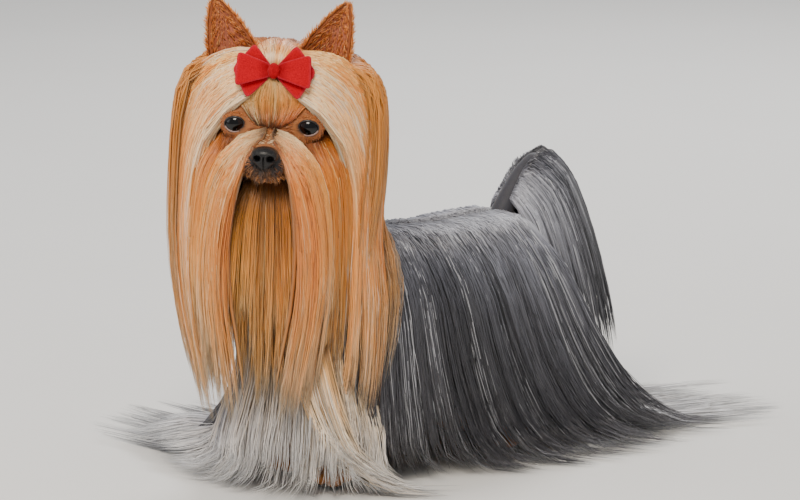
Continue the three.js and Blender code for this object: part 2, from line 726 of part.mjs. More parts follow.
const head = cut(join([skullSolid, ...lockSet(headRows, 0)]), [
  ...earsGrown,
  ...bowGrown,
  trunkCore(GAP),
  noseSolid(GAP),
  eyeBall(-1, GAP),
  eyeBall(1, GAP),
  neckCore(GAP).subtract(headCore(0)),
  ...lidPairs.map((l) => l.opening),
]);
add("head", head, TAN);
add("nose", nose, LEATHER);
[-1, 1].forEach((s, i) => {
  const side = s < 0 ? "right" : "left";
  add(`ear_${side}`, ears[i], TAN);
  add(`eye_${side}`, eyeBall(s, 0), EYE);
});
for (const [name, solid] of Object.entries(bow)) add(name, solid, FELT);

const headGrown = join([headCore(GAP), ...lockSet(headRows, GAP)]);
const neck = cut(neckCore(0), [trunkCore(GAP), headGrown]);
add("neck", neck, TAN);

const tail = cut(join([tailCore(0), ...lockSet(tailRows, 0)]), [trunkCore(GAP)]);
add("tail", tail, STEEL);

const legSolids = {};
[-1, 1].forEach((s, i) => {
  const side = s < 0 ? "right" : "left";
  const fore = legLocks(s * FORE_LEG.x, FORE_LEG.y);
  const hind = legLocks(s * HIND_LEG.x, HIND_LEG.y + 12);
  legSolids[`leg_front_${side}`] = [foreLegs[i], fore, foreLeg(s, GAP)];
  legSolids[`leg_rear_${side}`] = [hindLegs[i], hind, hindLeg(s, GAP)];
});
const legsGrown = [];
for (const [name, [solid, rows, grown]] of Object.entries(legSolids)) {
  add(name, cut(join([solid, ...lockSet(rows, 0)]), [trunkCore(GAP), headGrown]), TAN);
  legsGrown.push(grown, ...lockSet(rows, GAP));
}

const trunkCoat = cut(join([trunkCore(0), ...lockSet(trunkRows, 0)]), [
  headGrown,
  neckCore(GAP).subtract(trunkCore(0)),
  ...[tailCore(GAP), ...lockSet(tailRows, GAP)].map((t) => t.subtract(trunkCore(0))),
  ...legsGrown.map((l) => l.subtract(trunkCore(0))),
]);
add("torso", trunkCoat, STEEL);

// The footprint's middle is the origin.
const box = new THREE.Box3().setFromObject(group);
group.position.set(-(box.min.x + box.max.x) / 2, -(box.min.y + box.max.y) / 2, 0);

export default group;
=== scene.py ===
"""A Yorkshire terrier in full show coat: skin, face, ears, bow and a floor-length coat of silky strands."""

from __future__ import annotations

import logging
import math
from collections.abc import Callable
from dataclasses import dataclass, field, replace
from enum import Enum
from functools import partial

import bpy
import numpy as np
from bpy.types import Material, Mesh, Node, NodeSocket, NodeTree, Object
from mathutils import Matrix, Vector
from mathutils.bvhtree import BVHTree


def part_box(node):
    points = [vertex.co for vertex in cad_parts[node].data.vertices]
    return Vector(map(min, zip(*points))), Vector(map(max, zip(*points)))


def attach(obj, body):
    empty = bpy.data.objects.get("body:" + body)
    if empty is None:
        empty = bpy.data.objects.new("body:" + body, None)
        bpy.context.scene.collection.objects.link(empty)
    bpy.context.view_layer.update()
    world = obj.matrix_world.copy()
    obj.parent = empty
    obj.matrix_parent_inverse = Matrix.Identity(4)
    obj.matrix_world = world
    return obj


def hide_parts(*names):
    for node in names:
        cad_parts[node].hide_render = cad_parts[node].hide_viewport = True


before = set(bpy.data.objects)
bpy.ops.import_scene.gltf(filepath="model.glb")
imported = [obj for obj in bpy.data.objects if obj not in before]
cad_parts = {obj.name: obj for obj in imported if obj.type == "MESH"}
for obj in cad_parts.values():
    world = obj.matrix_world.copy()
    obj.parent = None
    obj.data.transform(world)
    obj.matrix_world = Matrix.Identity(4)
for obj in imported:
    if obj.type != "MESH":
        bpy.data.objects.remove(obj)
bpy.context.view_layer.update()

Array = np.ndarray
Colour = tuple[float, float, float, float]
Triple = tuple[float, float, float]
Outward = Callable[[Array], Array]
Fix = Callable[[Array, Array, Array], Array]
LOG = logging.getLogger("terrier")

# Driving sizes in millimetres, in the dog's own frame: it faces -Y and its left side is +X
MM = 0.001
DOCK_Y = 82.0
SKULL = (0.0, -95.0, 225.0)
HEAD_YAW = 46.0
HEAD_ROLL = 2.5
EYE_AT = (20.5, 17.6, -8.0)
EYE_R = 8.0
TRUNK_SQUARE = 0.9
# How far the almond opening of an eye is turned outwards
LID_TURN = math.radians(14)
# The head's own forward runs against the dog's Y
FLIP = np.array([1.0, -1.0, 1.0])
UPWARDS = np.array([0, 0, 1.0])
# Paws as (distance from the middle, place along the body), and the toes of each
FORE_PAW = (21, -71)
HIND_PAW = (23, 64)
TOES = (-1.5, -0.5, 0.5, 1.5)
TOE_GAP = 5.2
TOE_ARCH = 2.6
# Rows of [place along the body, half width, top, bottom]
TRUNK_ROWS = np.array(
    [
        [-97, 9, 131, 100], [-90, 22, 140, 86], [-76, 31, 150, 75], [-62, 35, 153, 69], [-35, 37, 147, 67],
        [-5, 36, 143, 69], [25, 33, 141.5, 75], [52, 33, 142.5, 80], [74, 30, 142, 83], [88, 21, 137, 92],
        [95, 9, 129, 106],
    ]
)
# Rows of [forward, half width, top, bottom] of the head
HEAD_ROWS = np.array(
    [
        [-35, 9, 12, -6], [-30, 18, 19, -14], [-20, 26, 25, -23], [-8, 29, 27, -29], [3, 29.5, 24.5, -32],
        [13, 27, 18, -34], [20, 23.5, 9, -35], [26, 20, -3, -36], [31, 16.5, -9.5, -37], [40, 14, -11, -37.5],
        [49, 12.2, -12.5, -36.5], [55, 9.5, -15, -34],
    ]
)


class Side(Enum):
    """The two sides of the dog, as signs along X."""

    RIGHT = -1
    LEFT = 1

    @property
    def word(self) -> str:
        """The side's name as the pieces carry it."""
        return self.name.lower()


def linear(code: str) -> Colour:
    """Turn an sRGB hex colour into linear light.

    Args:
        code: The colour as #RRGGBB.

    Returns:
        Red, green, blue and a full alpha.
    """
    parts = [int(code[i : i + 2], 16) / 255 for i in (1, 3, 5)]
    red, green, blue = (c / 12.92 if c <= 0.04045 else ((c + 0.055) / 1.055) ** 2.4 for c in parts)
    return (red, green, blue, 1.0)


def rgb(code: str) -> Array:
    """Turn an sRGB hex colour into three linear numbers."""
    return np.array(linear(code)[:3])


def mix(a: Array | float, b: Array | float, share: Array | float) -> Array:
    """Blend from a to b by a share of 0 to 1."""
    return a + (b - a) * share


def ease(value: Array | float) -> Array:
    """Clamp to 0..1 with a soft start and end."""
    v = np.clip(value, 0.0, 1.0)
    return v * v * (3 - 2 * v)


def unit(vectors: Array) -> Array:
    """Scale each vector to a length of one."""
    return vectors / np.maximum(np.linalg.norm(vectors, axis=-1, keepdims=True), 1e-9)


def rows_at(rows: Array, at: Array | float) -> list[Array]:
    """Step through rows of [station, value, value ...].

    Args:
        rows: The rows, in rising order of station.
        at: Stations to read.

    Returns:
        One array for each column of values.
    """
    return [np.interp(at, rows[:, 0], rows[:, k]) for k in range(1, rows.shape[1])]


def catmull(points: Array, at: Array) -> Array:
    """Read smooth curves through rows of points.

    Args:
        points: Shape (N, K, 3).
        at: Places along each curve from 0 to 1, shape (N, M).

    Returns:
        Points on the curves, shape (N, M, 3).
    """
    count = points.shape[1]
    ends = (2 * points[:, :1] - points[:, 1:2], points, 2 * points[:, -1:] - points[:, -2:-1])
    padded = np.concatenate(ends, axis=1)
    x = np.clip(at, 0, 1) * (count - 1)
    i = np.minimum(x.astype(int), count - 2)
    f = (x - i)[..., None]
    row = np.arange(len(points))[:, None]
    p0, p1, p2, p3 = (padded[row, i + k] for k in range(4))
    return 0.5 * (
        2 * p1 + (p2 - p0) * f + (2 * p0 - 5 * p1 + 4 * p2 - p3) * f**2 + (3 * p1 - p0 - 3 * p2 + p3) * f**3
    )


def even_curve(points: Array, places: Array, dense: int = 28) -> Array:
    """Read curves at even distances along their length.

    Args:
        points: Control points, shape (N, K, 3).
        places: Shares of each curve's length, shape (N, M).
        dense: How many samples measure the length.

    Returns:
        Points on the curves, shape (N, M, 3).
    """
    at = np.broadcast_to(np.linspace(0, 1, dense), (len(points), dense))
    fine = catmull(points, at)
    steps = np.linalg.norm(np.diff(fine, axis=1), axis=2)
    run = np.concatenate([np.zeros((len(points), 1)), np.cumsum(steps, axis=1)], axis=1)
    run /= run[:, -1:]
    after = (run[:, :, None] < places[:, None, :]).sum(axis=1).clip(1, dense - 1)
    row = np.arange(len(points))[:, None]
    low, high = run[row, after - 1], run[row, after]
    share = (places - low) / np.maximum(high - low, 1e-9)
    return catmull(points, (after - 1 + share) / (dense - 1))


def mesh_from(name: str, points: Array, quads: Array, tris: Array | None = None) -> Mesh:
    """Make a mesh from points in metres.

    Args:
        name: The mesh's name.
        points: Shape (N, 3).
        quads: Rows of four corner numbers.
        tris: Rows of three corner numbers.

    Returns:
        The mesh, with smooth faces.
    """
    tris = np.zeros((0, 3), int) if tris is None else tris
    mesh = bpy.data.meshes.new(name)
    mesh.vertices.add(len(points))
    mesh.vertices.foreach_set("co", np.ascontiguousarray(points, np.float32).ravel())
    corners = np.concatenate([quads.ravel(), tris.ravel()]).astype(np.int32)
    mesh.loops.add(len(corners))
    mesh.loops.foreach_set("vertex_index", corners)
    quad_starts = np.arange(len(quads)) * 4
    tri_starts = len(quads) * 4 + np.arange(len(tris)) * 3
    mesh.polygons.add(len(quads) + len(tris))
    mesh.polygons.foreach_set("loop_start", np.concatenate([quad_starts, tri_starts]).astype(np.int32))
    mesh.update(calc_edges=True)
    mesh.polygons.foreach_set("use_smooth", np.ones(len(mesh.polygons), bool))
    return mesh


def add_object(mesh: Mesh, material: Material | None) -> Object:
    """Put a mesh in the scene at the origin, with its material."""
    obj = bpy.data.objects.new(mesh.name, mesh)
    bpy.context.scene.collection.objects.link(obj)
    if material:
        mesh.materials.append(material)
    return obj


def paint(mesh: Mesh, colours: Array) -> None:
    """Store one linear colour for each point as the colour attribute Coat."""
    layer = mesh.color_attributes.new("Coat", "FLOAT_COLOR", "POINT")
    full = np.ones((len(mesh.vertices), 4), np.float32)
    full[:, :3] = colours
    layer.data.foreach_set("color", full.ravel())


def tube_grid(rings: int, sides: int, looped: bool = False) -> Array:
    """Number the quads between the rings of a tube.

    Args:
        rings: How many rings.
        sides: Points round a ring.
        looped: Whether the last ring joins the first.

    Returns:
        Rows of four corner numbers.
    """
    ring, side = np.meshgrid(np.arange(rings if looped else rings - 1), np.arange(sides), indexing="ij")
    after, beside = (ring + 1) % rings * sides, (side + 1) % sides
    corners = (ring * sides + side, ring * sides + beside, after + beside, after + side)
    return np.stack(corners, axis=-1).reshape(-1, 4)


def tube_caps(rings: int, sides: int) -> Array:
    """Number the triangles that close a tube with a point at each end, the two points coming last.

    Args:
        rings: How many rings.
        sides: Points round a ring.

    Returns:
        Rows of three corner numbers.
    """
    k, count = np.arange(sides), rings * sides
    base, after = count - sides, (k + 1) % sides
    first = np.stack([np.full(sides, count), after, k], axis=-1)
    return np.vstack([first, np.stack([np.full(sides, count + 1), base + k, base + after], axis=-1)])


def with_poles(points: Array, sides: int) -> Array:
    """Add the middle of the first and of the last ring to a tube's points."""
    return np.vstack([points, points[:sides].mean(axis=0), points[-sides:].mean(axis=0)])


def settle(obj: Object) -> Mesh:
    """Turn an object's modifiers into plain mesh data.

    Args:
        obj: An object with live modifiers.

    Returns:
        Its new mesh, with no modifier left.
    """
    bpy.context.view_layer.update()
    evaluated = obj.evaluated_get(bpy.context.evaluated_depsgraph_get())
    mesh = bpy.data.meshes.new_from_object(evaluated)
    obj.modifiers.clear()
    obj.data = mesh
    return mesh


@dataclass
class DogFrame:
    """The dog's own frame and its head's frame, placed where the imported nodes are."""

    shift: Array = field(init=False)
    turn: Array = field(init=False)

    def __post_init__(self) -> None:
        """Read the shift from the left eye's node."""
        rotation = Matrix.Rotation(math.radians(HEAD_YAW), 3, "Z") @ Matrix.Rotation(
            math.radians(HEAD_ROLL), 3, "Y"
        )
        self.turn = np.array(rotation)
        self.shift = np.zeros(3)
        low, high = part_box("eye_left")
        centre = (np.array(low) + np.array(high)) / 2 / MM
        self.shift = centre - self.head(np.array([EYE_AT]))[0]

    def head(self, places: Array) -> Array:
        """Turn (left, forward, up) of the head into the dog's frame."""
        return (places * FLIP) @ self.turn.T + np.array(SKULL)

    def of_head(self, points: Array) -> Array:
        """Turn points of the dog's frame into (left, forward, up) of the head."""
        return ((points - np.array(SKULL)) @ self.turn) * FLIP

    def head_vectors(self, ways: Array) -> Array:
        """Turn directions (left, forward, up) of the head into the dog's frame."""
        return (ways * FLIP) @ self.turn.T

    def metres(self, points: Array) -> Array:
        """Turn millimetres of the dog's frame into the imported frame's metres."""
        return (points + self.shift) * MM


def eye_centre(s: int) -> Array:
    """The middle of one eye, in the head's frame."""
    return np.array([s * EYE_AT[0], EYE_AT[1], EYE_AT[2]])


def mouth_line(local: Array) -> Array:
    """The height of the mouth's line at points of the head's frame."""
    return -31.0 + 2.2 * np.abs(local[:, 0]) / 17


def up_near_floor(way: Array, line: Array) -> Array:
    """Turn the ways out of the coat upwards where its hair lies on the floor."""
    low = ease((34 - line[..., 2]) / 30)[..., None]
    return unit(unit(way) * (1 - low) + UPWARDS * low)


def bulge(value: Array, power: float = TRUNK_SQUARE) -> Array:
    """Square a circle's sine or cosine a little."""
    return np.sign(value) * np.abs(value) ** power


def on_trunk(side: Array | float, y: Array | float, angle: Array | float, over: Array | float) -> Array:
    """Find points on the trunk.

    Args:
        side: 1 for the left, -1 for the right.
        y: Place along the body.
        angle: Degrees from the spine, down that side.
        over: Height over the skin.

    Returns:
        Points of the dog's frame.
    """
    side, y, angle, over = np.broadcast_arrays(side, y, angle, over)
    half, top, bottom = rows_at(TRUNK_ROWS, y)
    turn = np.radians(angle)
    x = bulge(np.sin(turn)) * (half + over)
    z = (top + bottom) / 2 + bulge(np.cos(turn)) * ((top - bottom) / 2 + over)
    return np.stack([side * x, y, z], axis=-1)


def drape(points: Array, lift: Array | float, side: Array | float) -> Array:
    """Lay points that would sink into the trunk on its coat, further down their side.

    Args:
        points: Points of the dog's frame, shape (..., 3).
        lift: How far over the skin they lie.
        side: The side down which they slide.

    Returns:
        The moved points.
    """
    x, y, z = points[..., 0], points[..., 1], points[..., 2]
    half, top, bottom = rows_at(TRUNK_ROWS, y)
    wide, tall, middle = half + lift, (top - bottom) / 2 + lift, (top + bottom) / 2
    share = np.minimum(0.999, np.abs(x) / wide)
    surface = middle + tall * np.sqrt(1 - share**2)
    inside = (np.abs(x) < wide) & (z < surface) & (y > -90)
    angle = np.arcsin(np.clip(side * x / wide, -1, 1)) + (surface - z) / 44
    over = angle < np.pi / 2
    new_x = np.where(over, side * wide * np.sin(angle), side * wide)
    new_z = np.where(over, middle + tall * np.cos(angle), middle - (angle - np.pi / 2) * 44)
    moved = np.stack([new_x, y, new_z], axis=-1)
    return np.where(inside[..., None], moved, points)


# Finishes


@dataclass(frozen=True)
class Finish:
    """A material's plain numbers."""

    name: str
    roughness: float
    specular: float = 0.5
    sheen: float = 0.0
    coat: float = 0.0
    coat_roughness: float = 0.1
    subsurface: float = 0.0


def node(tree: NodeTree, kind: str, links: dict | None = None, **settings: object) -> Node:
    """Add a node with its settings, socket values and links.

    Args:
        tree: The node tree.
        kind: The node's type name.
        links: Input name or number to an output socket or a value.
        **settings: Attributes of the node.

    Returns:
        The new node.
    """
    made = tree.nodes.new(kind)
    for key, value in settings.items():
        setattr(made, key, value)
    for key, value in (links or {}).items():
        if isinstance(value, NodeSocket):
            tree.links.new(value, made.inputs[key])
        else:
            made.inputs[key].default_value = value
    return made


def start_material(finish: Finish) -> tuple[Material, NodeTree, Node]:
    """Start a material with its shader's constants set.

    Args:
        finish: The numbers.

    Returns:
        The material, its tree and its shader.
    """
    material = bpy.data.materials.new(finish.name)
    material.use_nodes = True
    tree = material.node_tree
    tree.nodes.clear()
    shader = node(
        tree, "ShaderNodeBsdfPrincipled",
        {
            "Roughness": finish.roughness, "Specular IOR Level": finish.specular,
            "Sheen Weight": finish.sheen, "Coat Weight": finish.coat, "Coat Roughness": finish.coat_roughness,
            "Subsurface Weight": finish.subsurface,
        },
    )
    shader.inputs["Subsurface Scale"].default_value = 0.002
    node(tree, "ShaderNodeOutputMaterial", {"Surface": shader.outputs[0]})
    return material, tree, shader


def mapped_noise(tree: NodeTree, size_mm: float, detail: float, stretch: tuple = (1, 1, 1)) -> Node:
    """Add noise whose grains are a size in millimetres, on Object coordinates.

    Args:
        tree: The node tree.
        size_mm: The size of a grain.
        detail: The noise's detail.
        stretch: Scale along each axis.

    Returns:
        The noise node.
    """
    place = node(tree, "ShaderNodeTexCoord")
    turned = node(tree, "ShaderNodeMapping", {"Vector": place.outputs["Object"], "Scale": stretch})
    return node(
        tree, "ShaderNodeTexNoise", {"Vector": turned.outputs[0], "Scale": 1000 / size_mm, "Detail": detail}
    )


def tinted(tree: NodeTree, base: NodeSocket, share: NodeSocket, low: float) -> Node:
    """Darken a colour by a pattern.

    Args:
        tree: The node tree.
        base: The colour.
        share: The pattern, 0 to 1.
        low: The darkest factor.

    Returns:
        The node whose first result is the colour.
    """
    factor = node(
        tree, "ShaderNodeMapRange",
        {"Value": share, "From Min": 0.3, "From Max": 0.7, "To Min": low, "To Max": 1.0},
    )
    return node(tree, "ShaderNodeVectorMath", {0: base, 1: factor.outputs[0]}, operation="MULTIPLY")


def hair_material() -> Material:
    """Silky hair: a smooth keratin fibre with a long soft gleam along it.

    Each strand of the mesh stands for a few hairs side by side, so fine lines run along it, 0.16 mm apart.

    Returns:
        The material.
    """
    finish = Finish("silky dog hair", roughness=0.36, specular=0.6, sheen=0.1, coat=0.15, coat_roughness=0.28)
    material, tree, shader = start_material(finish)
    tone = node(tree, "ShaderNodeAttribute", attribute_name="Coat")
    own = node(tree, "ShaderNodeUVMap", uv_map="Lock")
    # The map is in millimetres: across, then along
    lines = node(tree, "ShaderNodeMapping", {"Vector": own.outputs[0], "Scale": (6.0, 0.035, 1.0)})
    hairs = node(
        tree, "ShaderNodeTexNoise", {"Vector": lines.outputs[0], "Scale": 1.0, "Detail": 2.0},
        noise_dimensions="2D",
    )
    fine = tinted(tree, tone.outputs["Color"], hairs.outputs[0], 0.76)
    lift = node(
        tree, "ShaderNodeVectorMath", {0: fine.outputs[0], 1: (1.14, 1.14, 1.14)}, operation="MULTIPLY"
    )
    tree.links.new(lift.outputs[0], shader.inputs["Base Color"])
    bump = node(tree, "ShaderNodeBump", {"Height": hairs.outputs[0], "Strength": 0.6, "Distance": 0.00025})
    tree.links.new(bump.outputs[0], shader.inputs["Normal"])
    return material


def skin_material() -> Material:
    """Living skin under fine down: matt, slightly see-through, with pores about 0.6 mm apart."""
    finish = Finish("dog skin with down", roughness=0.62, specular=0.4, sheen=0.2, subsurface=0.08)
    material, tree, shader = start_material(finish)
    tone = node(tree, "ShaderNodeAttribute", attribute_name="Coat")
    drift = mapped_noise(tree, 2.5, 4)
    colour = tinted(tree, tone.outputs["Color"], drift.outputs[0], 0.78)
    tree.links.new(colour.outputs[0], shader.inputs["Base Color"])
    pores = mapped_noise(tree, 0.6, 3)
    bump = node(tree, "ShaderNodeBump", {"Height": pores.outputs[0], "Strength": 0.5, "Distance": 0.0004})
    tree.links.new(bump.outputs[0], shader.inputs["Normal"])
    return material


def nose_material() -> Material:
    """Moist black nose leather: a pebbled skin of plates about 0.9 mm across under a thin wet film."""
    finish = Finish("moist nose leather", roughness=0.42, specular=0.3, coat=0.22, coat_roughness=0.25)
    material, tree, shader = start_material(finish)
    place = node(tree, "ShaderNodeTexCoord")
    plates = node(
        tree, "ShaderNodeTexVoronoi", {"Vector": place.outputs["Object"], "Scale": 1000 / 0.95},
        feature="DISTANCE_TO_EDGE",
    )
    height = node(tree, "ShaderNodeMapRange", {"Value": plates.outputs[0], "From Min": 0.0, "From Max": 0.22})
    bump = node(tree, "ShaderNodeBump", {"Height": height.outputs[0], "Strength": 0.75, "Distance": 0.00022})
    tree.links.new(bump.outputs[0], shader.inputs["Normal"])
    # The grooves between the plates are painted darker than the plate tops, as painted shade in the grooves.
    grey = node(
        tree, "ShaderNodeMix", {0: height.outputs[0], 6: linear("#040304"), 7: linear("#0F0D0E")},
        data_type="RGBA",
    )
    tree.links.new(grey.outputs[2], shader.inputs["Base Color"])
    return material


def eye_material() -> Material:
    """Wet eye: a clear smooth cornea over a dark brown iris, read from the painted rings."""
    finish = Finish("wet dark eye", roughness=0.1, specular=0.2, coat=0.4, coat_roughness=0.02)
    material, tree, shader = start_material(finish)
    tone = node(tree, "ShaderNodeAttribute", attribute_name="Coat")
    fibres = mapped_noise(tree, 0.5, 4)
    colour = tinted(tree, tone.outputs["Color"], fibres.outputs[0], 0.6)
    tree.links.new(colour.outputs[0], shader.inputs["Base Color"])
    return material


def felt_material() -> Material:
    """Red wool felt: matted fibres about 0.3 mm thick, drawn at 0.7 mm to show, with a soft bloom."""
    finish = Finish("red wool felt", roughness=0.9, specular=0.15, sheen=0.12)
    material, tree, shader = start_material(finish)
    shader.inputs["Sheen Tint"].default_value = linear("#FF8C96")
    fibres = mapped_noise(tree, 0.7, 6)
    tone = node(tree, "ShaderNodeAttribute", attribute_name="Coat")
    colour = tinted(tree, tone.outputs["Color"], fibres.outputs[0], 0.66)
    tree.links.new(colour.outputs[0], shader.inputs["Base Color"])
    bump = node(tree, "ShaderNodeBump", {"Height": fibres.outputs[0], "Strength": 0.55, "Distance": 0.0004})
    tree.links.new(bump.outputs[0], shader.inputs["Normal"])
    return material


def claw_material() -> Material:
    """Horn of a claw: smooth, dark, with faint growth lines along it."""
    finish = Finish("dark claw horn", roughness=0.35, specular=0.5, coat=0.2)
    material, tree, shader = start_material(finish)
    lines = mapped_noise(tree, 0.8, 2, (1, 0.15, 1))
    tone = node(
        tree, "ShaderNodeMix", {0: lines.outputs[0], 6: linear("#0E0C0B"), 7: linear("#3A322C")},
        data_type="RGBA",
    )
    tree.links.new(tone.outputs[2], shader.inputs["Base Color"])
    return material


def floor_material() -> Material:
    """Matt studio paper: pale, even, with the faintest mottling."""
    material, tree, shader = start_material(Finish("matt studio paper", roughness=0.85, specular=0.25))
    mottle = mapped_noise(tree, 180, 3)
    tone = node(
        tree, "ShaderNodeMix", {0: mottle.outputs[0], 6: linear("#E6E5E2"), 7: linear("#EAE9E7")},
        data_type="RGBA",
    )
    tree.links.new(tone.outputs[2], shader.inputs["Base Color"])
    return material


def finish_piece(obj: Object, nodes: tuple[str, ...] = ()) -> Object:
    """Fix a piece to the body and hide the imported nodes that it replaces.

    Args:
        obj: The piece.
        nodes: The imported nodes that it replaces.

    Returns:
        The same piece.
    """
    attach(obj, "root")
    if nodes:
        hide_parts(*nodes)
    triangles = len(obj.data.loops) - 2 * len(obj.data.polygons)
    LOG.info("%s: %d points, %d triangles", obj.name, len(obj.data.vertices), triangles)
    return obj


# Skin and face


@dataclass
class Skin:
    """The dog's skin as one closed surface from nose to tail, with real lids and a mouth line."""

    place: DogFrame
    voxel: float = 1.25
    under: float = 1.2
    pieces: list[tuple[Array, Array, Array]] = field(default_factory=list)
    points: Array = field(default_factory=lambda: np.zeros((0, 3)))
    tris: Array = field(default_factory=lambda: np.zeros((0, 3), int))
    near: BVHTree | None = None

    def loft(
        self, rows: Array, square: float, sides: int, steps: int, put: Callable[[Array], Array] | None = None
    ) -> None:
        """Loft a closed form from rows of [station, half width, top, bottom].

        Args:
            rows: The rows.
            square: How round each ring is.
            sides: Points round a ring.
            steps: Rings.
            put: Turns (across, station, up) into the dog's frame, where the rows aren't in it.
        """
        at = np.interp(np.linspace(0, 1, steps), np.linspace(0, 1, len(rows)), rows[:, 0])
        half, top, bottom = rows_at(rows, at)
        kernel = np.array([0.25, 0.5, 0.25])
        for line in (half, top, bottom):
            line[1:-1] = np.convolve(line, kernel, "valid")
        half = half - self.under
        tall = (top - bottom) / 2 - self.under
        turn = np.linspace(0, 2 * np.pi, sides, endpoint=False)
        x = bulge(np.cos(turn), square)[None] * half[:, None]
        z = (top + bottom)[:, None] / 2 + bulge(np.sin(turn), square)[None] * tall[:, None]
        points = np.stack([x, np.broadcast_to(at[:, None], x.shape), z], axis=-1).reshape(-1, 3)
        self.close(put(points) if put else points, steps, sides)

    def close(self, points: Array, rings: int, sides: int) -> None:
        """Close a tube of rings with a point at each end and keep it."""
        self.pieces.append((with_poles(points, sides), tube_grid(rings, sides), tube_caps(rings, sides)))

    def limb(
        self, stations: list[tuple[float, float, float, float, float]], sides: int = 28, steps: int = 36
    ) -> None:
        """Sweep a limb along its stations.

        Args:
            stations: Rows of (x, y, z, half width, half depth).
            sides: Points round a ring.
            steps: Rings.
        """
        rows = np.array(stations, float)
        at = np.linspace(0, 1, steps)[None]
        line = catmull(rows[None, :, :3], at)[0]
        sizes = [
            np.interp(at[0] * (len(rows) - 1), np.arange(len(rows)), rows[:, k]) - self.under for k in (3, 4)
        ]
        along = unit(np.gradient(line, axis=0))
        across = unit(np.array([1.0, 0, 0]) - along * along[:, :1])
        other = np.cross(along, across)
        swell = np.sin(np.clip((1 - np.linspace(0, 1, steps)) * 12, 0, np.pi / 2)) * 0.85 + 0.15
        turn = np.linspace(0, 2 * np.pi, sides, endpoint=False)
        wide = (sizes[0] * swell)[:, None, None] * np.cos(turn)[None, :, None]
        deep = (sizes[1] * swell)[:, None, None] * np.sin(turn)[None, :, None]
        ring = line[:, None] + across[:, None] * wide + other[:, None] * deep
        self.close(ring.reshape(-1, 3), steps, sides)

    def ball(self, centre: Array, radii: Triple, sides: int = 32) -> None:
        """Add an ellipsoid.

        Args:
            centre: Its middle in the dog's frame.
            radii: Half its size along each axis.
            sides: Points round a ring.
        """
        rings = sides // 2
        lat = np.linspace(-np.pi / 2 + 0.12, np.pi / 2 - 0.12, rings)
        lon = np.linspace(0, 2 * np.pi, sides, endpoint=False)
        x = np.cos(lat)[:, None] * np.cos(lon)[None] * radii[0]
        y = np.cos(lat)[:, None] * np.sin(lon)[None] * radii[1]
        z = np.broadcast_to(np.sin(lat)[:, None] * radii[2], x.shape)
        self.close(np.stack([x, y, z], axis=-1).reshape(-1, 3) + centre, rings, sides)

    def paw(self, x: float, y: float) -> None:
        """Add a round paw of four toes and its pads."""
        self.ball(np.array([x, y + 4, 8.0]), (9.6, 12, 8.0))
        for k in TOES:
            self.ball(np.array([x + k * TOE_GAP, y - 9 + abs(k) * TOE_ARCH, 5.6]), (2.7, 6.3, 5.0), 20)
            self.ball(np.array([x + k * 4.6, y - 8 + abs(k) * TOE_ARCH, 2.0]), (1.9, 2.8, 1.6), 16)
        self.ball(np.array([x, y + 3, 2.4]), (5.6, 5.0, 2.0), 20)

    def forms(self) -> None:
        """Lay out every form of the body."""
        self.loft(HEAD_ROWS, 0.92, 48, 60, self.place.head)
        self.loft(TRUNK_ROWS, TRUNK_SQUARE, 64, 80)
        for s in (-1, 1):
            cheek = self.place.head(np.array([[s * 17.5, 15, -19]]))[0]
            self.ball(cheek, (9, 10, 10))
            brow = self.place.head(np.array([[s * 16.5, 13.5, -0.5]]))[0]
            self.ball(brow, (8.5, 8, 7))
            lid = self.place.head(eye_centre(s)[None])[0]
            self.ball(lid, (9.0, 9.0, 9.0))
            flew = self.place.head(np.array([[s * 7.0, 45, -25]]))[0]
            self.ball(flew, (7.6, 9.5, 7.6))
            x = s * FORE_PAW[0]
            self.limb(
                [(x, -60, 92, 13, 16), (x, -61, 66, 11, 12), (x, -64, 38, 8, 8.5), (x, -65, 10, 8, 8.5)]
            )
            self.paw(x, FORE_PAW[1])
            x = s * HIND_PAW[0]
            hind = [(x, 58, 104, 14, 22), (x + 2 * s, 54, 76, 13, 18), (x + s, 70, 50, 9, 10)]
            self.limb([*hind, (x, 78, 30, 7, 8), (x, 72, 10, 8, 8.5)])
            self.paw(x, HIND_PAW[1])
        self.limb(
            [(0, -68, 131, 29, 30), (-1, -78, 161, 26, 28), (-3, -89, 187, 24, 25), (-3, -91, 209, 22, 22)]
        )
        self.limb([(0, 74, 133, 9, 9), (0, 85, 152, 7, 7), (0, 96, 166, 5.6, 5.6), (0, 108, 174, 4.6, 4.6)])

    def almond(self, points: Array, s: int) -> tuple[Array, Array, Array]:
        """Measure points against one eye's opening.

        Args:
            points: Points of the head's frame.
            s: The side.

        Returns:
            The distance from the eye's middle, the place in the almond (1 at its rim) and the direction.
        """
        away = points - eye_centre(s)
        far = np.linalg.norm(away, axis=1)
        side, ahead = s * away[:, 0], away[:, 1]
        across = side * math.cos(LID_TURN) - ahead * math.sin(LID_TURN) + 1.0
        front = side * math.sin(LID_TURN) + ahead * math.cos(LID_TURN)
        up = away[:, 2] + 0.08 * across
        edge = np.sqrt((across / 5.5) ** 2 + ((up - 0.1) / 4.3) ** 2) * 8.0 / np.maximum(far, 0.1)
        return far, np.where(front > 0, edge, 9.0), away / far[:, None]

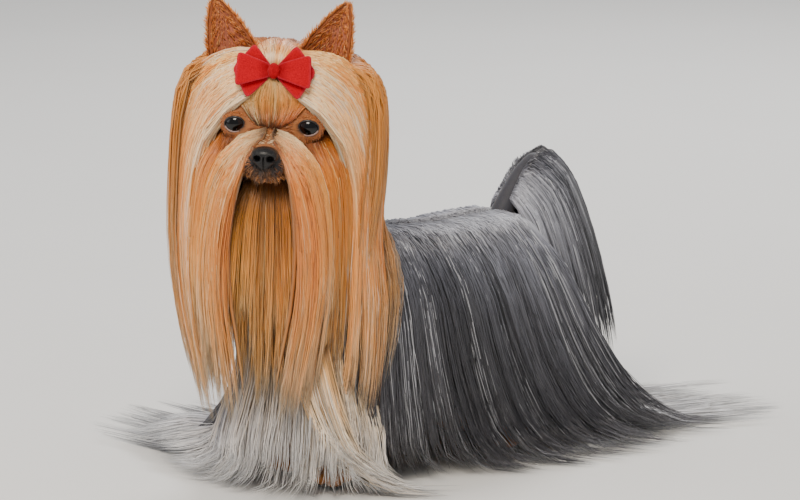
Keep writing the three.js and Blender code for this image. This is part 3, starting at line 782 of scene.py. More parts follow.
    def shape_face(self, points: Array) -> Array:
        """Open the eyes, press in the mouth line and part the upper lip.

        Args:
            points: The skin's points in the dog's frame.

        Returns:
            The moved points.
        """
        local = self.place.of_head(points)
        for s in (-1, 1):
            far, edge, way = self.almond(local, s)
            near = (far < 14) & (edge < 1.0)
            target = mix(6.4, 8.6, ease((edge - 0.8) / 0.2))
            centre = eye_centre(s)
            local = np.where(near[:, None], centre + way * target[:, None], local)
            rim = np.exp(-(((edge - 1.12) / 0.12) ** 2)) * (far < 13)
            local = local + way * (rim * 0.4)[:, None]
            fold = np.exp(-(((edge - 1.55) / 0.13) ** 2)) * (far < 15) * (local[:, 2] > -8)
            local = local - way * (fold * 0.8)[:, None]
        muzzle = ease((local[:, 1] - 20) / 8)
        line = mouth_line(local)
        out = unit((local - np.array([0.0, 30.0, 0.0])) * np.array([1.0, 1.0, 0.0]))
        groove = np.exp(-(((local[:, 2] - line) / 0.9) ** 2)) * muzzle
        local = local - out * (groove * 1.9)[:, None]
        part = np.exp(
            -((local[:, 0] / 0.8) ** 2)
        ) * muzzle * (local[:, 2] > line) * ease((local[:, 1] - 44) / 4)
        local[:, 1] -= part * 1.4
        return self.place.head(local)

    def colours(self, points: Array) -> Array:
        """Give the skin the coat's markings: steel on the trunk and tail, tan on the head and legs.

        Args:
            points: The skin's points in the dog's frame.

        Returns:
            One linear colour for each point.
        """
        steel, tan, deep, lip, pad = (rgb(c) for c in ("#3A3A42", "#C07A38", "#8A4A1C", "#171113", "#1B1718"))
        local = self.place.of_head(points)
        colour = np.tile(steel, (len(points), 1))
        legs = ease((100 - points[:, 2]) / 16)
        colour = mix(colour, tan * 0.8, legs[:, None])
        front = ease((-62 - points[:, 1]) / 14) * ease((points[:, 2] - 120) / 30)
        colour = mix(colour, tan * 0.85, front[:, None])
        face = ease((local[:, 1] + 6) / 14) * (points[:, 2] > 180)
        colour = mix(colour, deep, (face * 0.6)[:, None])
        line = mouth_line(local)
        lips = np.exp(-(((local[:, 2] - line) / 2.6) ** 2)) * ease((local[:, 1] - 24) / 10)
        lips = np.maximum(
            lips, ease((local[:, 1] - 50) / 3) * ease((local[:, 2] + 31) / 3) * (points[:, 2] > 150)
        )
        for s in (-1, 1):
            far, edge, _ = self.almond(local, s)
            lips = np.maximum(lips, ease((1.02 - edge) / 0.08) * (far < 13))
        colour = mix(colour, lip, np.clip(lips, 0, 1)[:, None])
        return mix(colour, pad, ease((3.2 - points[:, 2]) / 1.5)[:, None])

    def keep_surface(self, mesh: Mesh, points: Array) -> None:
        """Keep the head's triangles, for the hair that grows on them.

        Args:
            mesh: The finished skin.
            points: Its points in the dog's frame.
        """
        mesh.calc_loop_triangles()
        flat = np.empty(len(mesh.loop_triangles) * 3, np.int32)
        mesh.loop_triangles.foreach_get("vertices", flat)
        tris = flat.reshape(-1, 3)
        self.points, self.tris = points, tris[points[tris[:, 0], 2] > 150]
        self.near = BVHTree.FromPolygons(points.tolist(), self.tris.tolist())

    def above(self, line: Array, gap: Array) -> Array:
        """Lift hair out of the skin.

        Args:
            line: Points of the strands, shape (N, M, 3).
            gap: The least height over the skin of each strand, shape (N,).

        Returns:
            The points, none nearer to the skin than its gap.
        """
        moved = line.copy()
        for strand, least in zip(moved, gap, strict=True):
            for point in strand:
                spot, normal, _, _ = self.near.find_nearest(point)
                short = least - (Vector(point) - spot).dot(normal)
                if short > 0:
                    point += np.array(normal) * min(short, 6.0)
        return moved

    def face_spots(self, count: int, rng: np.random.Generator) -> tuple[Array, Array]:
        """Scatter places evenly over the skin of the face, away from the eyes and the nose.

        Args:
            count: Places before those on the eyes and the nose are dropped.
            rng: The random source.

        Returns:
            Places and normals in the head's frame.
        """
        local = self.place.of_head(self.points)
        a, b, c = (local[self.tris[:, k]] for k in range(3))
        # The head's frame is a mirrored one, so its cross products point inwards
        normal = -np.cross(b - a, c - a)
        area = np.linalg.norm(normal, axis=1)
        middle = (a + b + c) / 3
        face = (middle[:, 1] > -4) & (middle[:, 2] > -42) & (middle[:, 2] < 24) & (np.abs(middle[:, 0]) < 33)
        pick = rng.choice(len(area), count, p=area * face / (area * face).sum())
        share = rng.random((2, count, 1))
        share = np.where(share.sum(axis=0) > 1, 1 - share, share)
        spots = a[pick] + (b - a)[pick] * share[0] + (c - a)[pick] * share[1]
        keep = np.linalg.norm((spots - np.array([0, 54, -20])) / np.array([8.6, 9, 7.0]), axis=1) > 1
        for s in (-1, 1):
            far, edge, _ = self.almond(spots, s)
            keep &= (edge > 1.08) | (far > 13)
        return spots[keep], unit(normal[pick][keep])

    def build(self) -> Object:
        """Join the forms into one skin and give it its face.

        Returns:
            The finished piece.
        """
        self.forms()
        points, quads, tris, start = [], [], [], 0
        for p, q, t in self.pieces:
            points.append(p)
            quads.append(q + start)
            tris.append(t + start)
            start += len(p)
        # Built a thousand times larger, in metres for millimetres, so that the remesh keeps its fine detail
        mesh = mesh_from("skin_raw", np.vstack(points), np.vstack(quads), np.vstack(tris))
        obj = add_object(mesh, None)
        obj.name = "skin"
        remesh = obj.modifiers.new("one surface", "REMESH")
        remesh.mode = "VOXEL"
        remesh.voxel_size = self.voxel
        relax = obj.modifiers.new("soft joins", "SMOOTH")
        relax.factor = 0.5
        relax.iterations = 6
        mesh = settle(obj)
        mesh.name = "skin"
        flat = np.empty(len(mesh.vertices) * 3, np.float32)
        mesh.vertices.foreach_get("co", flat)
        moved = self.shape_face(flat.reshape(-1, 3).astype(float))
        moved[:, 2] = np.maximum(moved[:, 2], 0.15)
        mesh.vertices.foreach_set("co", self.place.metres(moved).astype(np.float32).ravel())
        mesh.polygons.foreach_set("use_smooth", np.ones(len(mesh.polygons), bool))
        mesh.update()
        mesh.materials.clear()
        mesh.materials.append(skin_material())
        paint(mesh, self.colours(moved))
        self.keep_surface(mesh, moved)
        legs = tuple(f"leg_{end}_{side}" for end in ("front", "rear") for side in ("left", "right"))
        return finish_piece(obj, ("head", "neck", "torso", "tail", *legs))


@dataclass
class Eyes:
    """Two wet eyeballs with a pupil, a dark iris and a lid rim round each."""

    place: DogFrame
    radius: float = EYE_R
    pupil_deg: float = 30.0
    iris_deg: float = 62.0

    def build(self) -> None:
        """Make both eyes and their lid rims."""
        gloss = eye_material()
        rim = self.rim_material()
        for side in Side:
            self.ball(side, gloss)
            self.rim(side, rim)

    def gaze(self, s: int) -> Array:
        """The way an eye looks, in the head's frame: forward and a little out."""
        return unit(np.array([[s * 0.26, 0.96, 0.06]]))[0]

    def ball(self, side: Side, gloss: Material) -> None:
        """Make one eyeball as a sphere round its gaze, with a bulged cornea.

        Args:
            side: Which eye.
            gloss: Its material.
        """
        rings, sides = 48, 64
        angle = np.linspace(0.004, np.pi - 0.004, rings)
        turn = np.linspace(0, 2 * np.pi, sides, endpoint=False)
        gaze = self.gaze(side.value)
        across = unit(np.cross(gaze, [0, 0, 1.0])[None])[0]
        up = np.cross(across, gaze)
        reach = self.radius + 0.45 * np.exp(-((angle / 0.62) ** 2))
        ring = (
            np.cos(turn)[None, :, None] * across + np.sin(turn)[None, :, None] * up
        ) * np.sin(angle)[:, None, None]
        local = (ring + np.cos(angle)[:, None, None] * gaze) * reach[:, None, None] * 0.985
        local = local.reshape(-1, 3) + eye_centre(side.value)
        placed = self.place.metres(self.place.head(with_poles(local, sides)))
        quads, caps = tube_grid(rings, sides)[:, ::-1], tube_caps(rings, sides)[:, ::-1]
        mesh = mesh_from(f"eyeball_{side.word}", placed, quads, caps)
        white, iris, ring_tone, black = (rgb(c) for c in ("#3A2420", "#1E0D06", "#080403", "#010101"))
        deg = np.degrees(np.concatenate([np.repeat(angle, sides), [0, np.pi]]))
        colour = np.where((deg < self.pupil_deg)[:, None], black, iris)
        colour = mix(colour, ring_tone, ease((deg - self.iris_deg + 10) / 8)[:, None])
        colour = mix(colour, white, ease((deg - self.iris_deg) / 6)[:, None])
        obj = add_object(mesh, gloss)
        paint(mesh, colour)
        orient_outwards(mesh)
        finish_piece(obj, (f"eye_{side.word}",))

    def rim_material(self) -> Material:
        """Bare dark lid skin: thin, hairless, moist at its edge."""
        material, tree, shader = start_material(
            Finish("dark lid skin", roughness=0.45, specular=0.5, coat=0.3)
        )
        creases = mapped_noise(tree, 0.7, 4)
        skin = node(tree, "ShaderNodeAttribute", attribute_name="Coat")
        # The crease pattern also darkens the lid's colour, as painted shade in the creases.
        tone = tinted(tree, skin.outputs["Color"], creases.outputs[0], 0.55)
        tree.links.new(tone.outputs[0], shader.inputs["Base Color"])
        bump = node(
            tree, "ShaderNodeBump", {"Height": creases.outputs[0], "Strength": 0.5, "Distance": 0.0003}
        )
        tree.links.new(bump.outputs[0], shader.inputs["Normal"])
        return material

    def rim(self, side: Side, material: Material) -> None:
        """Make the rolled rim of the lids round an almond opening.

        Args:
            side: Which eye.
            material: The rim's material.
        """
        s, count, sides = side.value, 96, 10
        turn = np.linspace(0, 2 * np.pi, count, endpoint=False)
        across = np.cos(turn) * 5.6 - 1.0
        up = np.sin(turn) * 4.3 * (1 - 0.1 * np.cos(turn)) + 0.1
        rest = np.sqrt(np.maximum(8.35**2 - across**2 - up**2, 1.0))
        side_way = across * math.cos(LID_TURN) + rest * math.sin(LID_TURN)
        ahead = -across * math.sin(LID_TURN) + rest * math.cos(LID_TURN)
        line = np.stack([s * side_way, ahead, up], axis=-1)
        normal = unit(line)
        along = unit(np.roll(line, -1, axis=0) - np.roll(line, 1, axis=0))
        out = unit(np.cross(along, normal))
        thick = 0.42 + 0.16 * np.maximum(np.sin(turn), 0) + 0.04 * np.sin(turn * 9)
        circle = np.linspace(0, 2 * np.pi, sides, endpoint=False)
        ring = (
            line[:, None] + normal[:, None] * (np.sin(circle)[None, :, None] * thick[:, None, None])
            + out[:, None] * (np.cos(circle)[None, :, None] * thick[:, None, None] * 1.15)
        )
        local = ring.reshape(-1, 3) + eye_centre(s)
        placed = self.place.metres(self.place.head(local))
        mesh = mesh_from(f"lid_rim_{side.word}", placed, tube_grid(count, sides, looped=True))
        orient_outwards(mesh)
        pale, dark = (rgb(c) for c in ("#A08078", "#140D0D"))
        paint(mesh, np.repeat(mix(dark, pale, ease(-np.sin(turn) * 3 - 0.6)[:, None]), sides, axis=0))
        finish_piece(add_object(mesh, material))


def orient_outwards(mesh: Mesh) -> None:
    """Turn a closed mesh's faces outwards by the sign of its volume."""
    mesh.calc_loop_triangles()
    tris = np.empty(len(mesh.loop_triangles) * 3, np.int32)
    mesh.loop_triangles.foreach_get("vertices", tris)
    flat = np.empty(len(mesh.vertices) * 3, np.float32)
    mesh.vertices.foreach_get("co", flat)
    corners = flat.reshape(-1, 3)[tris.reshape(-1, 3)].astype(float)
    volume = np.einsum("ij,ij->i", corners[:, 0], np.cross(corners[:, 1], corners[:, 2])).sum()
    if volume < 0:
        mesh.flip_normals()


@dataclass
class NoseLeather:
    """The nose: a broad pad with two comma nostrils, wings and a groove down its middle."""

    place: DogFrame
    radii: Triple = (7.7, 6.4, 5.6)
    centre: Triple = (0.0, 55.3, -19.6)

    def build(self) -> None:
        """Make the nose from a fine sphere pressed into shape."""
        rings, sides = 120, 160
        angle = np.linspace(0.01, np.pi - 0.01, rings)
        turn = np.linspace(0, 2 * np.pi, sides, endpoint=False)
        x = np.sin(angle)[:, None] * np.cos(turn)[None]
        z = np.sin(angle)[:, None] * np.sin(turn)[None]
        y = np.broadcast_to(np.cos(angle)[:, None], x.shape)
        way = np.stack([x, y, z], axis=-1).reshape(-1, 3)
        flat = np.sign(way) * np.abs(way) ** 0.9
        local = flat * np.array(self.radii)
        px, pz, front = local[:, 0], local[:, 2], ease((way[:, 1] + 0.1) / 0.5)
        for s in (-1, 1):
            hole = np.exp(-(((px - s * 3.5) / 1.55) ** 2 + ((pz + 0.5) / 1.35) ** 2) ** 1.6)
            comma = np.exp(
                -(((px - s * 5.6) / 1.7) ** 2 + ((pz + 2.0 + 0.16 * s * (px - s * 5.6)) / 0.62) ** 2)
            )
            wing = np.exp(-(((px - s * 5.3) / 1.9) ** 2 + ((pz - 0.9) / 1.7) ** 2))
            local[:, 1] -= hole * front * 4.6 + comma * front * 2.1
            local += way * (wing * front * 0.75)[:, None]
        groove = np.exp(-((px / 0.42) ** 2)) * (pz < 0.5) * front
        local[:, 1] -= groove * 0.9
        lower = ease((-pz - 2.2) / 2.6)
        local[:, 0] *= 1 - 0.42 * lower
        local[:, 2] -= lower * 2.3 * front
        points = local + np.array(self.centre)
        placed = self.place.metres(self.place.head(with_poles(points, sides)))
        quads, caps = tube_grid(rings, sides)[:, ::-1], tube_caps(rings, sides)[:, ::-1]
        mesh = mesh_from("nose_leather", placed, quads, caps)
        orient_outwards(mesh)
        finish_piece(add_object(mesh, nose_material()), ("nose",))


@dataclass
class Ears:
    """Two pricked ears: thin curved shells, open to the front, with fur grown on them later."""

    place: DogFrame
    root: Triple = (22, -2, 17)
    tip: Triple = (38.5, -5, 60)
    thick: float = 1.5
    rows: Array = field(
        default_factory=lambda: np.array(
            [
                [-0.3, 10, 8], [0, 13, 10], [0.2, 13.4, 9], [0.45, 11.2, 7], [0.7, 7.4, 4.6],
                [0.88, 3.6, 2.4], [1, 0.5, 0.6],
            ]
        )
    )

    def surface(self, s: int, height: Array, arc: Array, over: Array | float) -> Array:
        """Find points on an ear's shell.

        Args:
            s: The side.
            height: Share of the ear's height.
            arc: Place round the cup, -1 to 1 from its one edge to the other.
            over: Distance outwards of the shell's middle.

        Returns:
            Points of the head's frame.
        """
        root = np.array(self.root) * np.array([s, 1, 1])
        tip = np.array(self.tip) * np.array([s, 1, 1])
        rise = tip - root
        up = rise / np.linalg.norm(rise)
        across = unit((np.array([1.0, 0, 0]) - up * up[0])[None])[0]
        back = np.cross(across, up)
        back = -back if back[1] > 0 else back
        half, cup = rows_at(self.rows, height)
        turn = np.radians(78) * arc
        side = np.sin(turn) / math.sin(math.radians(78)) * (half + over)
        deep = (np.cos(turn) - 0.2) * (cup + over)
        return root + rise * height[..., None] + across * side[..., None] + back * deep[..., None]

    def build(self) -> None:
        """Make both shells."""
        material = skin_material()
        material.name = "ear skin with down"
        for side in Side:
            self.shell(side, material)

    def shell(self, side: Side, material: Material) -> None:
        """Make one ear as a closed shell.

        Args:
            side: Which ear.
            material: Its skin.
        """
        steps, count = 40, 32
        arc = np.concatenate([np.linspace(-1, 1, count), np.linspace(1, -1, count)])
        over = np.concatenate([np.full(count, self.thick / 2), np.full(count, -self.thick / 2)])
        height = np.linspace(-0.28, 0.995, steps)
        grid_h = np.repeat(height, len(arc))
        grid_a = np.tile(arc, steps)
        thin = np.tile(over, steps) * np.interp(grid_h, [0.6, 1.0], [1.0, 0.45])
        local = self.surface(side.value, grid_h, grid_a, thin)
        sides = len(arc)
        placed = self.place.metres(self.place.head(with_poles(local, sides)))
        mesh = mesh_from(f"ear_shell_{side.word}", placed, tube_grid(steps, sides), tube_caps(steps, sides))
        inner, edge, base = (rgb(c) for c in ("#B0664A", "#9C5426", "#6A3420"))
        share = np.append(np.abs(grid_a), [0, 0])
        colour = mix(inner, edge, ease((share - 0.4) / 0.5)[:, None])
        # Towards its root the ear is painted darker with the base colour, as painted shade in the bottom of
        # the cup.
        colour = mix(base, colour, ease(np.append(grid_h, [0, 1]) / 0.35)[:, None])
        paint(mesh, colour)
        orient_outwards(mesh)
        finish_piece(add_object(mesh, material), (f"ear_{side.word}",))


@dataclass
class Bow:
    """A bow of folded felt: two wings in front, two pointed wings behind and a knot."""

    place: DogFrame
    at: Triple = (0, 22, 23)
    tilt: float = 18.0
    thick: float = 1.7
    front: tuple = ((1.5, 3.6), (21, 10.5), (21.5, -10), (1.5, -3.6))
    back: tuple = ((1.5, 3.2), (12, 16.0), (24, 1.0), (14.5, -16.2), (1.5, -3.2))

    def put(self, local: Array) -> Array:
        """Turn (across, up, towards the viewer) of the bow into metres."""
        lean = math.radians(self.tilt)
        across, up, out = local[:, 0], local[:, 1], local[:, 2]
        forward = out * math.cos(lean) - up * math.sin(lean)
        high = up * math.cos(lean) + out * math.sin(lean)
        return self.place.metres(
            self.place.head(np.stack([across, forward, high], axis=-1) + np.array(self.at))
        )

    def wing(self, s: int, behind: bool, material: Material) -> None:
        """Make one wing as a thick curved sheet with a rounded edge, painted paler there as a painted
        highlight, and with painted shade near the knot.

        Args:
            s: The side.
            behind: Whether it is one of the pointed wings at the back.
            material: The felt.
        """
        outline = np.array(self.back if behind else self.front, float)
        shape = self.rounded(outline)
        middle = np.array([9.5 if behind else 11.0, 0.0])
        rings = [1.0, 0.985, 0.95, 0.86, 0.72, 0.56, 0.4, 0.24, 0.1]
        drop = [0.0, 0.5, 0.82, 1.0, 1.0, 1.0, 1.0, 1.0, 1.0]
        half = self.thick / 2
        layers = [(r, h * half) for r, h in zip(rings, drop)]
        profile = [*reversed(layers), *[(r, -h) for r, h in layers[1:]]]
        count = len(shape)
        set_back = 3.0 if behind else 0.0
        local, shares = [], []
        for share, height in profile:
            flat = middle + (shape - middle) * share
            local.append(
                np.column_stack([s * flat[:, 0], flat[:, 1], self.bend(flat, behind) + height - set_back])
            )
            shares.append(np.full(count, share))
        crest = self.bend(middle[None], behind)[0]
        points = np.vstack([*local, [[s * middle[0], 0, crest + z - set_back] for z in (half, -half)]])
        name = f"bow_{'back' if behind else 'front'}_{Side(s).word}"
        quads, caps = tube_grid(len(profile), count), tube_caps(len(profile), count)
        mesh = mesh_from(f"felt_{name}", self.put(points), quads, caps)
        body, pale = rgb("#C00018"), rgb("#CC2C40")
        deep = rgb("#860010")
        # The wing is painted darker near the knot, as painted shade where it tucks in, and paler along its
        # rounded edge, as a painted highlight.
        rim = ease((np.append(np.concatenate(shares), [0, 0]) - 0.9) / 0.09)
        near = ease(1 - (np.abs(points[:, 0]) - 3) / 7)
        colour = mix(mix(body, deep, (near * 0.7)[:, None]), pale, (rim * 0.8)[:, None])
        paint(mesh, colour)
        orient_outwards(mesh)
        finish_piece(add_object(mesh, material), (name,))

    def rounded(self, corners: Array, step: int = 14) -> Array:
        """Round an outline's corners and space its points.

        Args:
            corners: The outline's corners.
            step: Points for each side.

        Returns:
            The outline's points.
        """
        after = np.roll(corners, -1, axis=0)
        share = np.linspace(0, 1, step, endpoint=False)[None, :, None]
        line = (corners[:, None] + (after - corners)[:, None] * share).reshape(-1, 2)
        for _ in range(5):
            line = (np.roll(line, 1, axis=0) + line * 2 + np.roll(line, -1, axis=0)) / 4
        return line

    def bend(self, flat: Array, behind: bool) -> Array:
        """The wing's curve out of its plane: lifted at its far end, with a fold from the knot."""
        reach = flat[:, 0] / 22
        fold = np.exp(-((flat[:, 1] / 2.6) ** 2)) * np.clip(1 - reach, 0, 1)
        wave = 1.1 * np.sin(reach * 2.6 + (1.3 if behind else 0.2)) * (0.7 + 0.3 * np.cos(flat[:, 1] / 5))
        return 1.6 + wave - fold * 1.5

    def knot(self, material: Material) -> None:
        """Make the knot: a wrapped band with creases, round the wings' roots."""
        rings, sides = 40, 48
        angle = np.linspace(0.03, np.pi - 0.03, rings)
        turn = np.linspace(0, 2 * np.pi, sides, endpoint=False)
        folds = 1 + 0.07 * np.sin(4 * turn)[None] * np.sin(angle)[:, None]
        crease = folds + 0.03 * np.sin(angle * 9)[:, None]
        x = np.sin(angle)[:, None] * np.cos(turn)[None] * 3.5 * crease
        y = np.cos(angle)[:, None] * 4.6 * np.ones_like(x)
        z = np.sin(angle)[:, None] * np.sin(turn)[None] * 3.4 * crease + 1.6
        points = np.stack([x, y, z], axis=-1).reshape(-1, 3)
        ends = np.array([[0, 4.6, 1.6], [0, -4.6, 1.6]])
        placed = self.put(np.vstack([points, ends]))
        mesh = mesh_from("felt_knot", placed, tube_grid(rings, sides), tube_caps(rings, sides))
        paint(mesh, np.tile(rgb("#B00014"), (len(placed), 1)))
        orient_outwards(mesh)
        finish_piece(add_object(mesh, material), ("bow_knot",))

    def build(self) -> None:
        """Make the four wings and the knot."""
        felt = felt_material()
        for s in (-1, 1):
            self.wing(s, True, felt)
            self.wing(s, False, felt)
        self.knot(felt)


# Coat


@dataclass(frozen=True)
class Tones:
    """Colours along a strand at the two edges of a sheet of hair, as rows of (share of the length, hex)."""

    inner: tuple[tuple[float, str], ...]
    outer: tuple[tuple[float, str], ...]
    pale: str
    dark: str
    pale_share: float = 0.12
    dark_share: float = 0.12
    spread: float = 0.16

    def ramp(self, rows: tuple[tuple[float, str], ...], at: Array) -> Array:
        """Read one gradient at shares of the length."""
        stops = np.array([r[0] for r in rows])
        colours = np.array([rgb(r[1]) for r in rows])
        return np.stack([np.interp(at, stops, colours[:, k]) for k in range(3)], axis=-1)

    def colour(self, across: Array, at: Array, lock: Array, rng: np.random.Generator) -> Array:
        """Colour every ring of every strand.

        Args:
            across: Place across the sheet, shape (N,).
            at: Shares of the length, shape (N, M).
            lock: A random number of each strand's lock, shape (N,).
            rng: The random source.

        Returns:
            Linear colours, shape (N, M, 3).
        """
        count = len(across)
        across = np.clip(across + (lock - 0.5) * 0.6 + rng.normal(0, 0.1, count), 0, 1)
        base = mix(self.ramp(self.inner, at), self.ramp(self.outer, at), across[:, None, None])
        tone = 1 + self.spread * (lock - 0.5) * 2 + rng.normal(0, self.spread * 0.5, count)
        base = base * np.clip(tone, 0.45, 1.7)[:, None, None]
        pick = rng.random(count) * 0.7 + lock * 0.3
        pale = rgb(self.pale)
        dark = rgb(self.dark)
        base = mix(base, pale, (ease((self.pale_share - pick) / 0.1) * 0.5)[:, None, None])
        return mix(base, dark, (ease((pick - 1 + self.dark_share) / 0.1) * 0.5)[:, None, None])

    def swapped(self) -> Tones:
        """The same tones with the sheet's two edges exchanged."""
        return replace(self, inner=self.outer, outer=self.inner)


@dataclass
class Hair:
    """One sheet of long hair along guides: strands gather into thin locks, and these into broad locks."""

    name: str
    guides: Array
    tones: Tones
    slot: str
    locks: int
    strands: int
    out: Outward
    depth: float = 6.0
    width: float = 0.035
    rings: int = 9
    radius: float = 0.34
    gather: float = 0.5
    wave: float = 2.2
    short: float = 0.26
    loose: float = 0.04
    ragged: float = 0.02
    backing: int = 0
    floor: float = 0.6
    seed: int = 1
    fix: Fix | None = None

    def sheet(self, across: Array) -> Array:
        """Blend the guides at places across the sheet.

        Args:
            across: Places from 0 to 1.

        Returns:
            Control points, shape (N, K, 3).
        """
        flat = self.guides.reshape(len(self.guides), -1, 3)
        turned = np.swapaxes(flat, 0, 1)
        at = np.broadcast_to(across, (turned.shape[0], len(across)))
        return np.swapaxes(catmull(turned, at), 0, 1)

    def curves(self, across: Array, deep: Array, places: Array) -> Array:
        """Read strands of the sheet at a depth.

        Args:
            across: Places across the sheet.
            deep: Depth from 0 at the skin to 1 at the outside.
            places: Shares of the length, shape (N, M).

        Returns:
            Points, shape (N, M, 3).
        """
        line = even_curve(self.sheet(across), places)
        grown = ease(places * 5) * 0.9 + 0.1
        return line + self.out(line) * (deep[:, None] * grown * self.depth)[..., None]

    def sway(self, line: Array, places: Array, size: float, rng: np.random.Generator, waves: float) -> Array:
        """Add a slow wave to each curve, growing towards its tip.

        Args:
            line: Points, shape (N, M, 3).
            places: Shares of the length, shape (N, M).
            size: How far the wave swings.
            rng: The random source.
            waves: How many waves at most.

        Returns:
            The moved points.
        """
        count = len(line)
        along = unit(np.gradient(line, axis=1))
        outward = self.out(line)
        across = unit(np.cross(along, outward))
        phase, turns = rng.random((2, count, 1)) * np.array([[[6.28]], [[waves]]]) + np.array(
            [[[0]], [[waves * 0.6]]]
        )
        amount = size * rng.normal(0, 1, (count, 1)) * ease(places * 1.6) * (1 + 0.9 * places**3)
        side = np.sin(places * turns * 6.28 + phase) - np.sin(phase)
        lift = np.cos(places * turns * 5.1 + phase * 1.7) * 0.4
        return line + across * (side * amount)[..., None] + outward * (lift * np.abs(amount))[..., None]

    def grow(self) -> tuple[Array, Array, Array, Array, Array]:
        """Lay out every strand.

        Returns:
            Points (N, M, 3), radii (N, M), flatness (N,), colours (N, M, 3) and roots on the unwrap (N, 2).
        """
        rng = np.random.default_rng(self.seed)
        base = np.linspace(0, 1, self.rings)
        lock_u = (np.arange(self.locks) + rng.uniform(0.1, 0.9, self.locks)) / self.locks
        lock_d = rng.random(self.locks)
        lock_tone = rng.random(self.locks)
        lock_len = 1 - self.short * rng.random(self.locks)
        full = np.broadcast_to(base, (self.locks, self.rings))
        lock_line = self.sway(self.curves(lock_u, lock_d, full), full, self.wave, rng, 0.8)
        thin = self.locks * 5
        owner = np.arange(thin) % self.locks
        spread = rng.normal(0, self.width, thin)
        thin_u = np.clip(lock_u[owner] + spread, 0, 1)
        thin_d = np.clip(lock_d[owner] + rng.normal(0, 0.25, thin), 0, 1)
        full = np.broadcast_to(base, (thin, self.rings))
        thin_line = self.sway(self.curves(thin_u, thin_d, full), full, self.wave * 0.5, rng, 1.4)
        pull = (self.gather * 0.75 * ease(full * 1.1))[..., None]
        thin_line = thin_line + (lock_line[owner] - thin_line) * pull
        count = self.strands
        home = rng.integers(0, thin, count)
        u = np.clip(thin_u[home] + rng.normal(0, self.width * 0.6, count), 0, 1)
        d = np.clip(thin_d[home] + rng.normal(0, 0.2, count), 0, 1)
        length = np.clip(lock_len[owner[home]] - self.short * rng.random(count) ** 2.2 * 1.3, 0.25, 1)
        loose = rng.random(count) < self.loose
        start = rng.random(count) * self.ragged
        places = start[:, None] + (length - start)[:, None] * base[None]
        line = self.curves(u, d, places)
        line = self.sway(line, places, self.wave * 0.25, rng, 2.0)
        row = np.arange(count)[:, None]
        x = places * (self.rings - 1)
        i = np.minimum(x.astype(int), self.rings - 2)
        f = (x - i)[..., None]
        home_line = thin_line[home]
        centre = home_line[row, i] * (1 - f) + home_line[row, i + 1] * f
        pull = self.gather * ease(places * 1.3) * np.where(loose, 0.15, 1)[:, None]
        line = line + (centre - line) * pull[..., None]
        taper = np.interp(base, [0, 0.12, 0.6, 1], [0.75, 1.05, 0.85, 0.18])
        radius = self.radius * taper[None] * rng.uniform(0.75, 1.25, (count, 1))
        colour = self.tones.colour(u, places / length[:, None], lock_tone[owner[home]], rng)
        shade = 0.74 + 0.26 * ease(d * 1.4 + 0.25)
        colour = colour * shade[:, None, None]
        flat = np.ones(count)
        if self.backing:
            wide_u = (np.arange(self.backing) + rng.random(self.backing)) / self.backing
            full = base[None] * rng.uniform(0.62, 0.94, (self.backing, 1))
            under = self.sway(
                self.curves(wide_u, rng.uniform(-0.3, 0.25, self.backing), full), full, self.wave * 0.6, rng,
                0.8,
            )
            # The backing ribbons are painted darker, at 0.62 of the hair's colour, as painted shade deep in
            # the coat.
            tone = self.tones.colour(wide_u, full, rng.random(self.backing), rng) * 0.62
            line = np.concatenate([line, under])
            wide = self.radius * 6 * np.interp(base, [0, 0.2, 0.7, 1], [0.5, 1, 0.8, 0.1])
            radius = np.concatenate([radius, np.broadcast_to(wide, (self.backing, self.rings))])
            colour = np.concatenate([colour, tone])
            flat = np.concatenate([flat, np.full(self.backing, 0.16)])
            u, d = np.concatenate([u, wide_u]), np.concatenate([d, rng.random(self.backing)])
        if self.fix:
            line = self.fix(line, u, d)
        lowest = self.floor + radius + (d * 3.0)[:, None] * ease((30 - line[..., 2]) / 30)
        line[..., 2] = np.maximum(line[..., 2], lowest)
        return line, radius, flat, colour, np.stack([u, d], axis=-1)

    def build(self, place: DogFrame, material: Material) -> Object:
        """Make the sheet's strands one mesh.

        Args:
            place: The dog's frame.
            material: The hair.

        Returns:
            The finished piece.
        """
        line, radius, flat, colour, root = self.grow()
        return strand_mesh(
            self.name, place, line, radius, flat, colour, root, self.out(line), material
        )


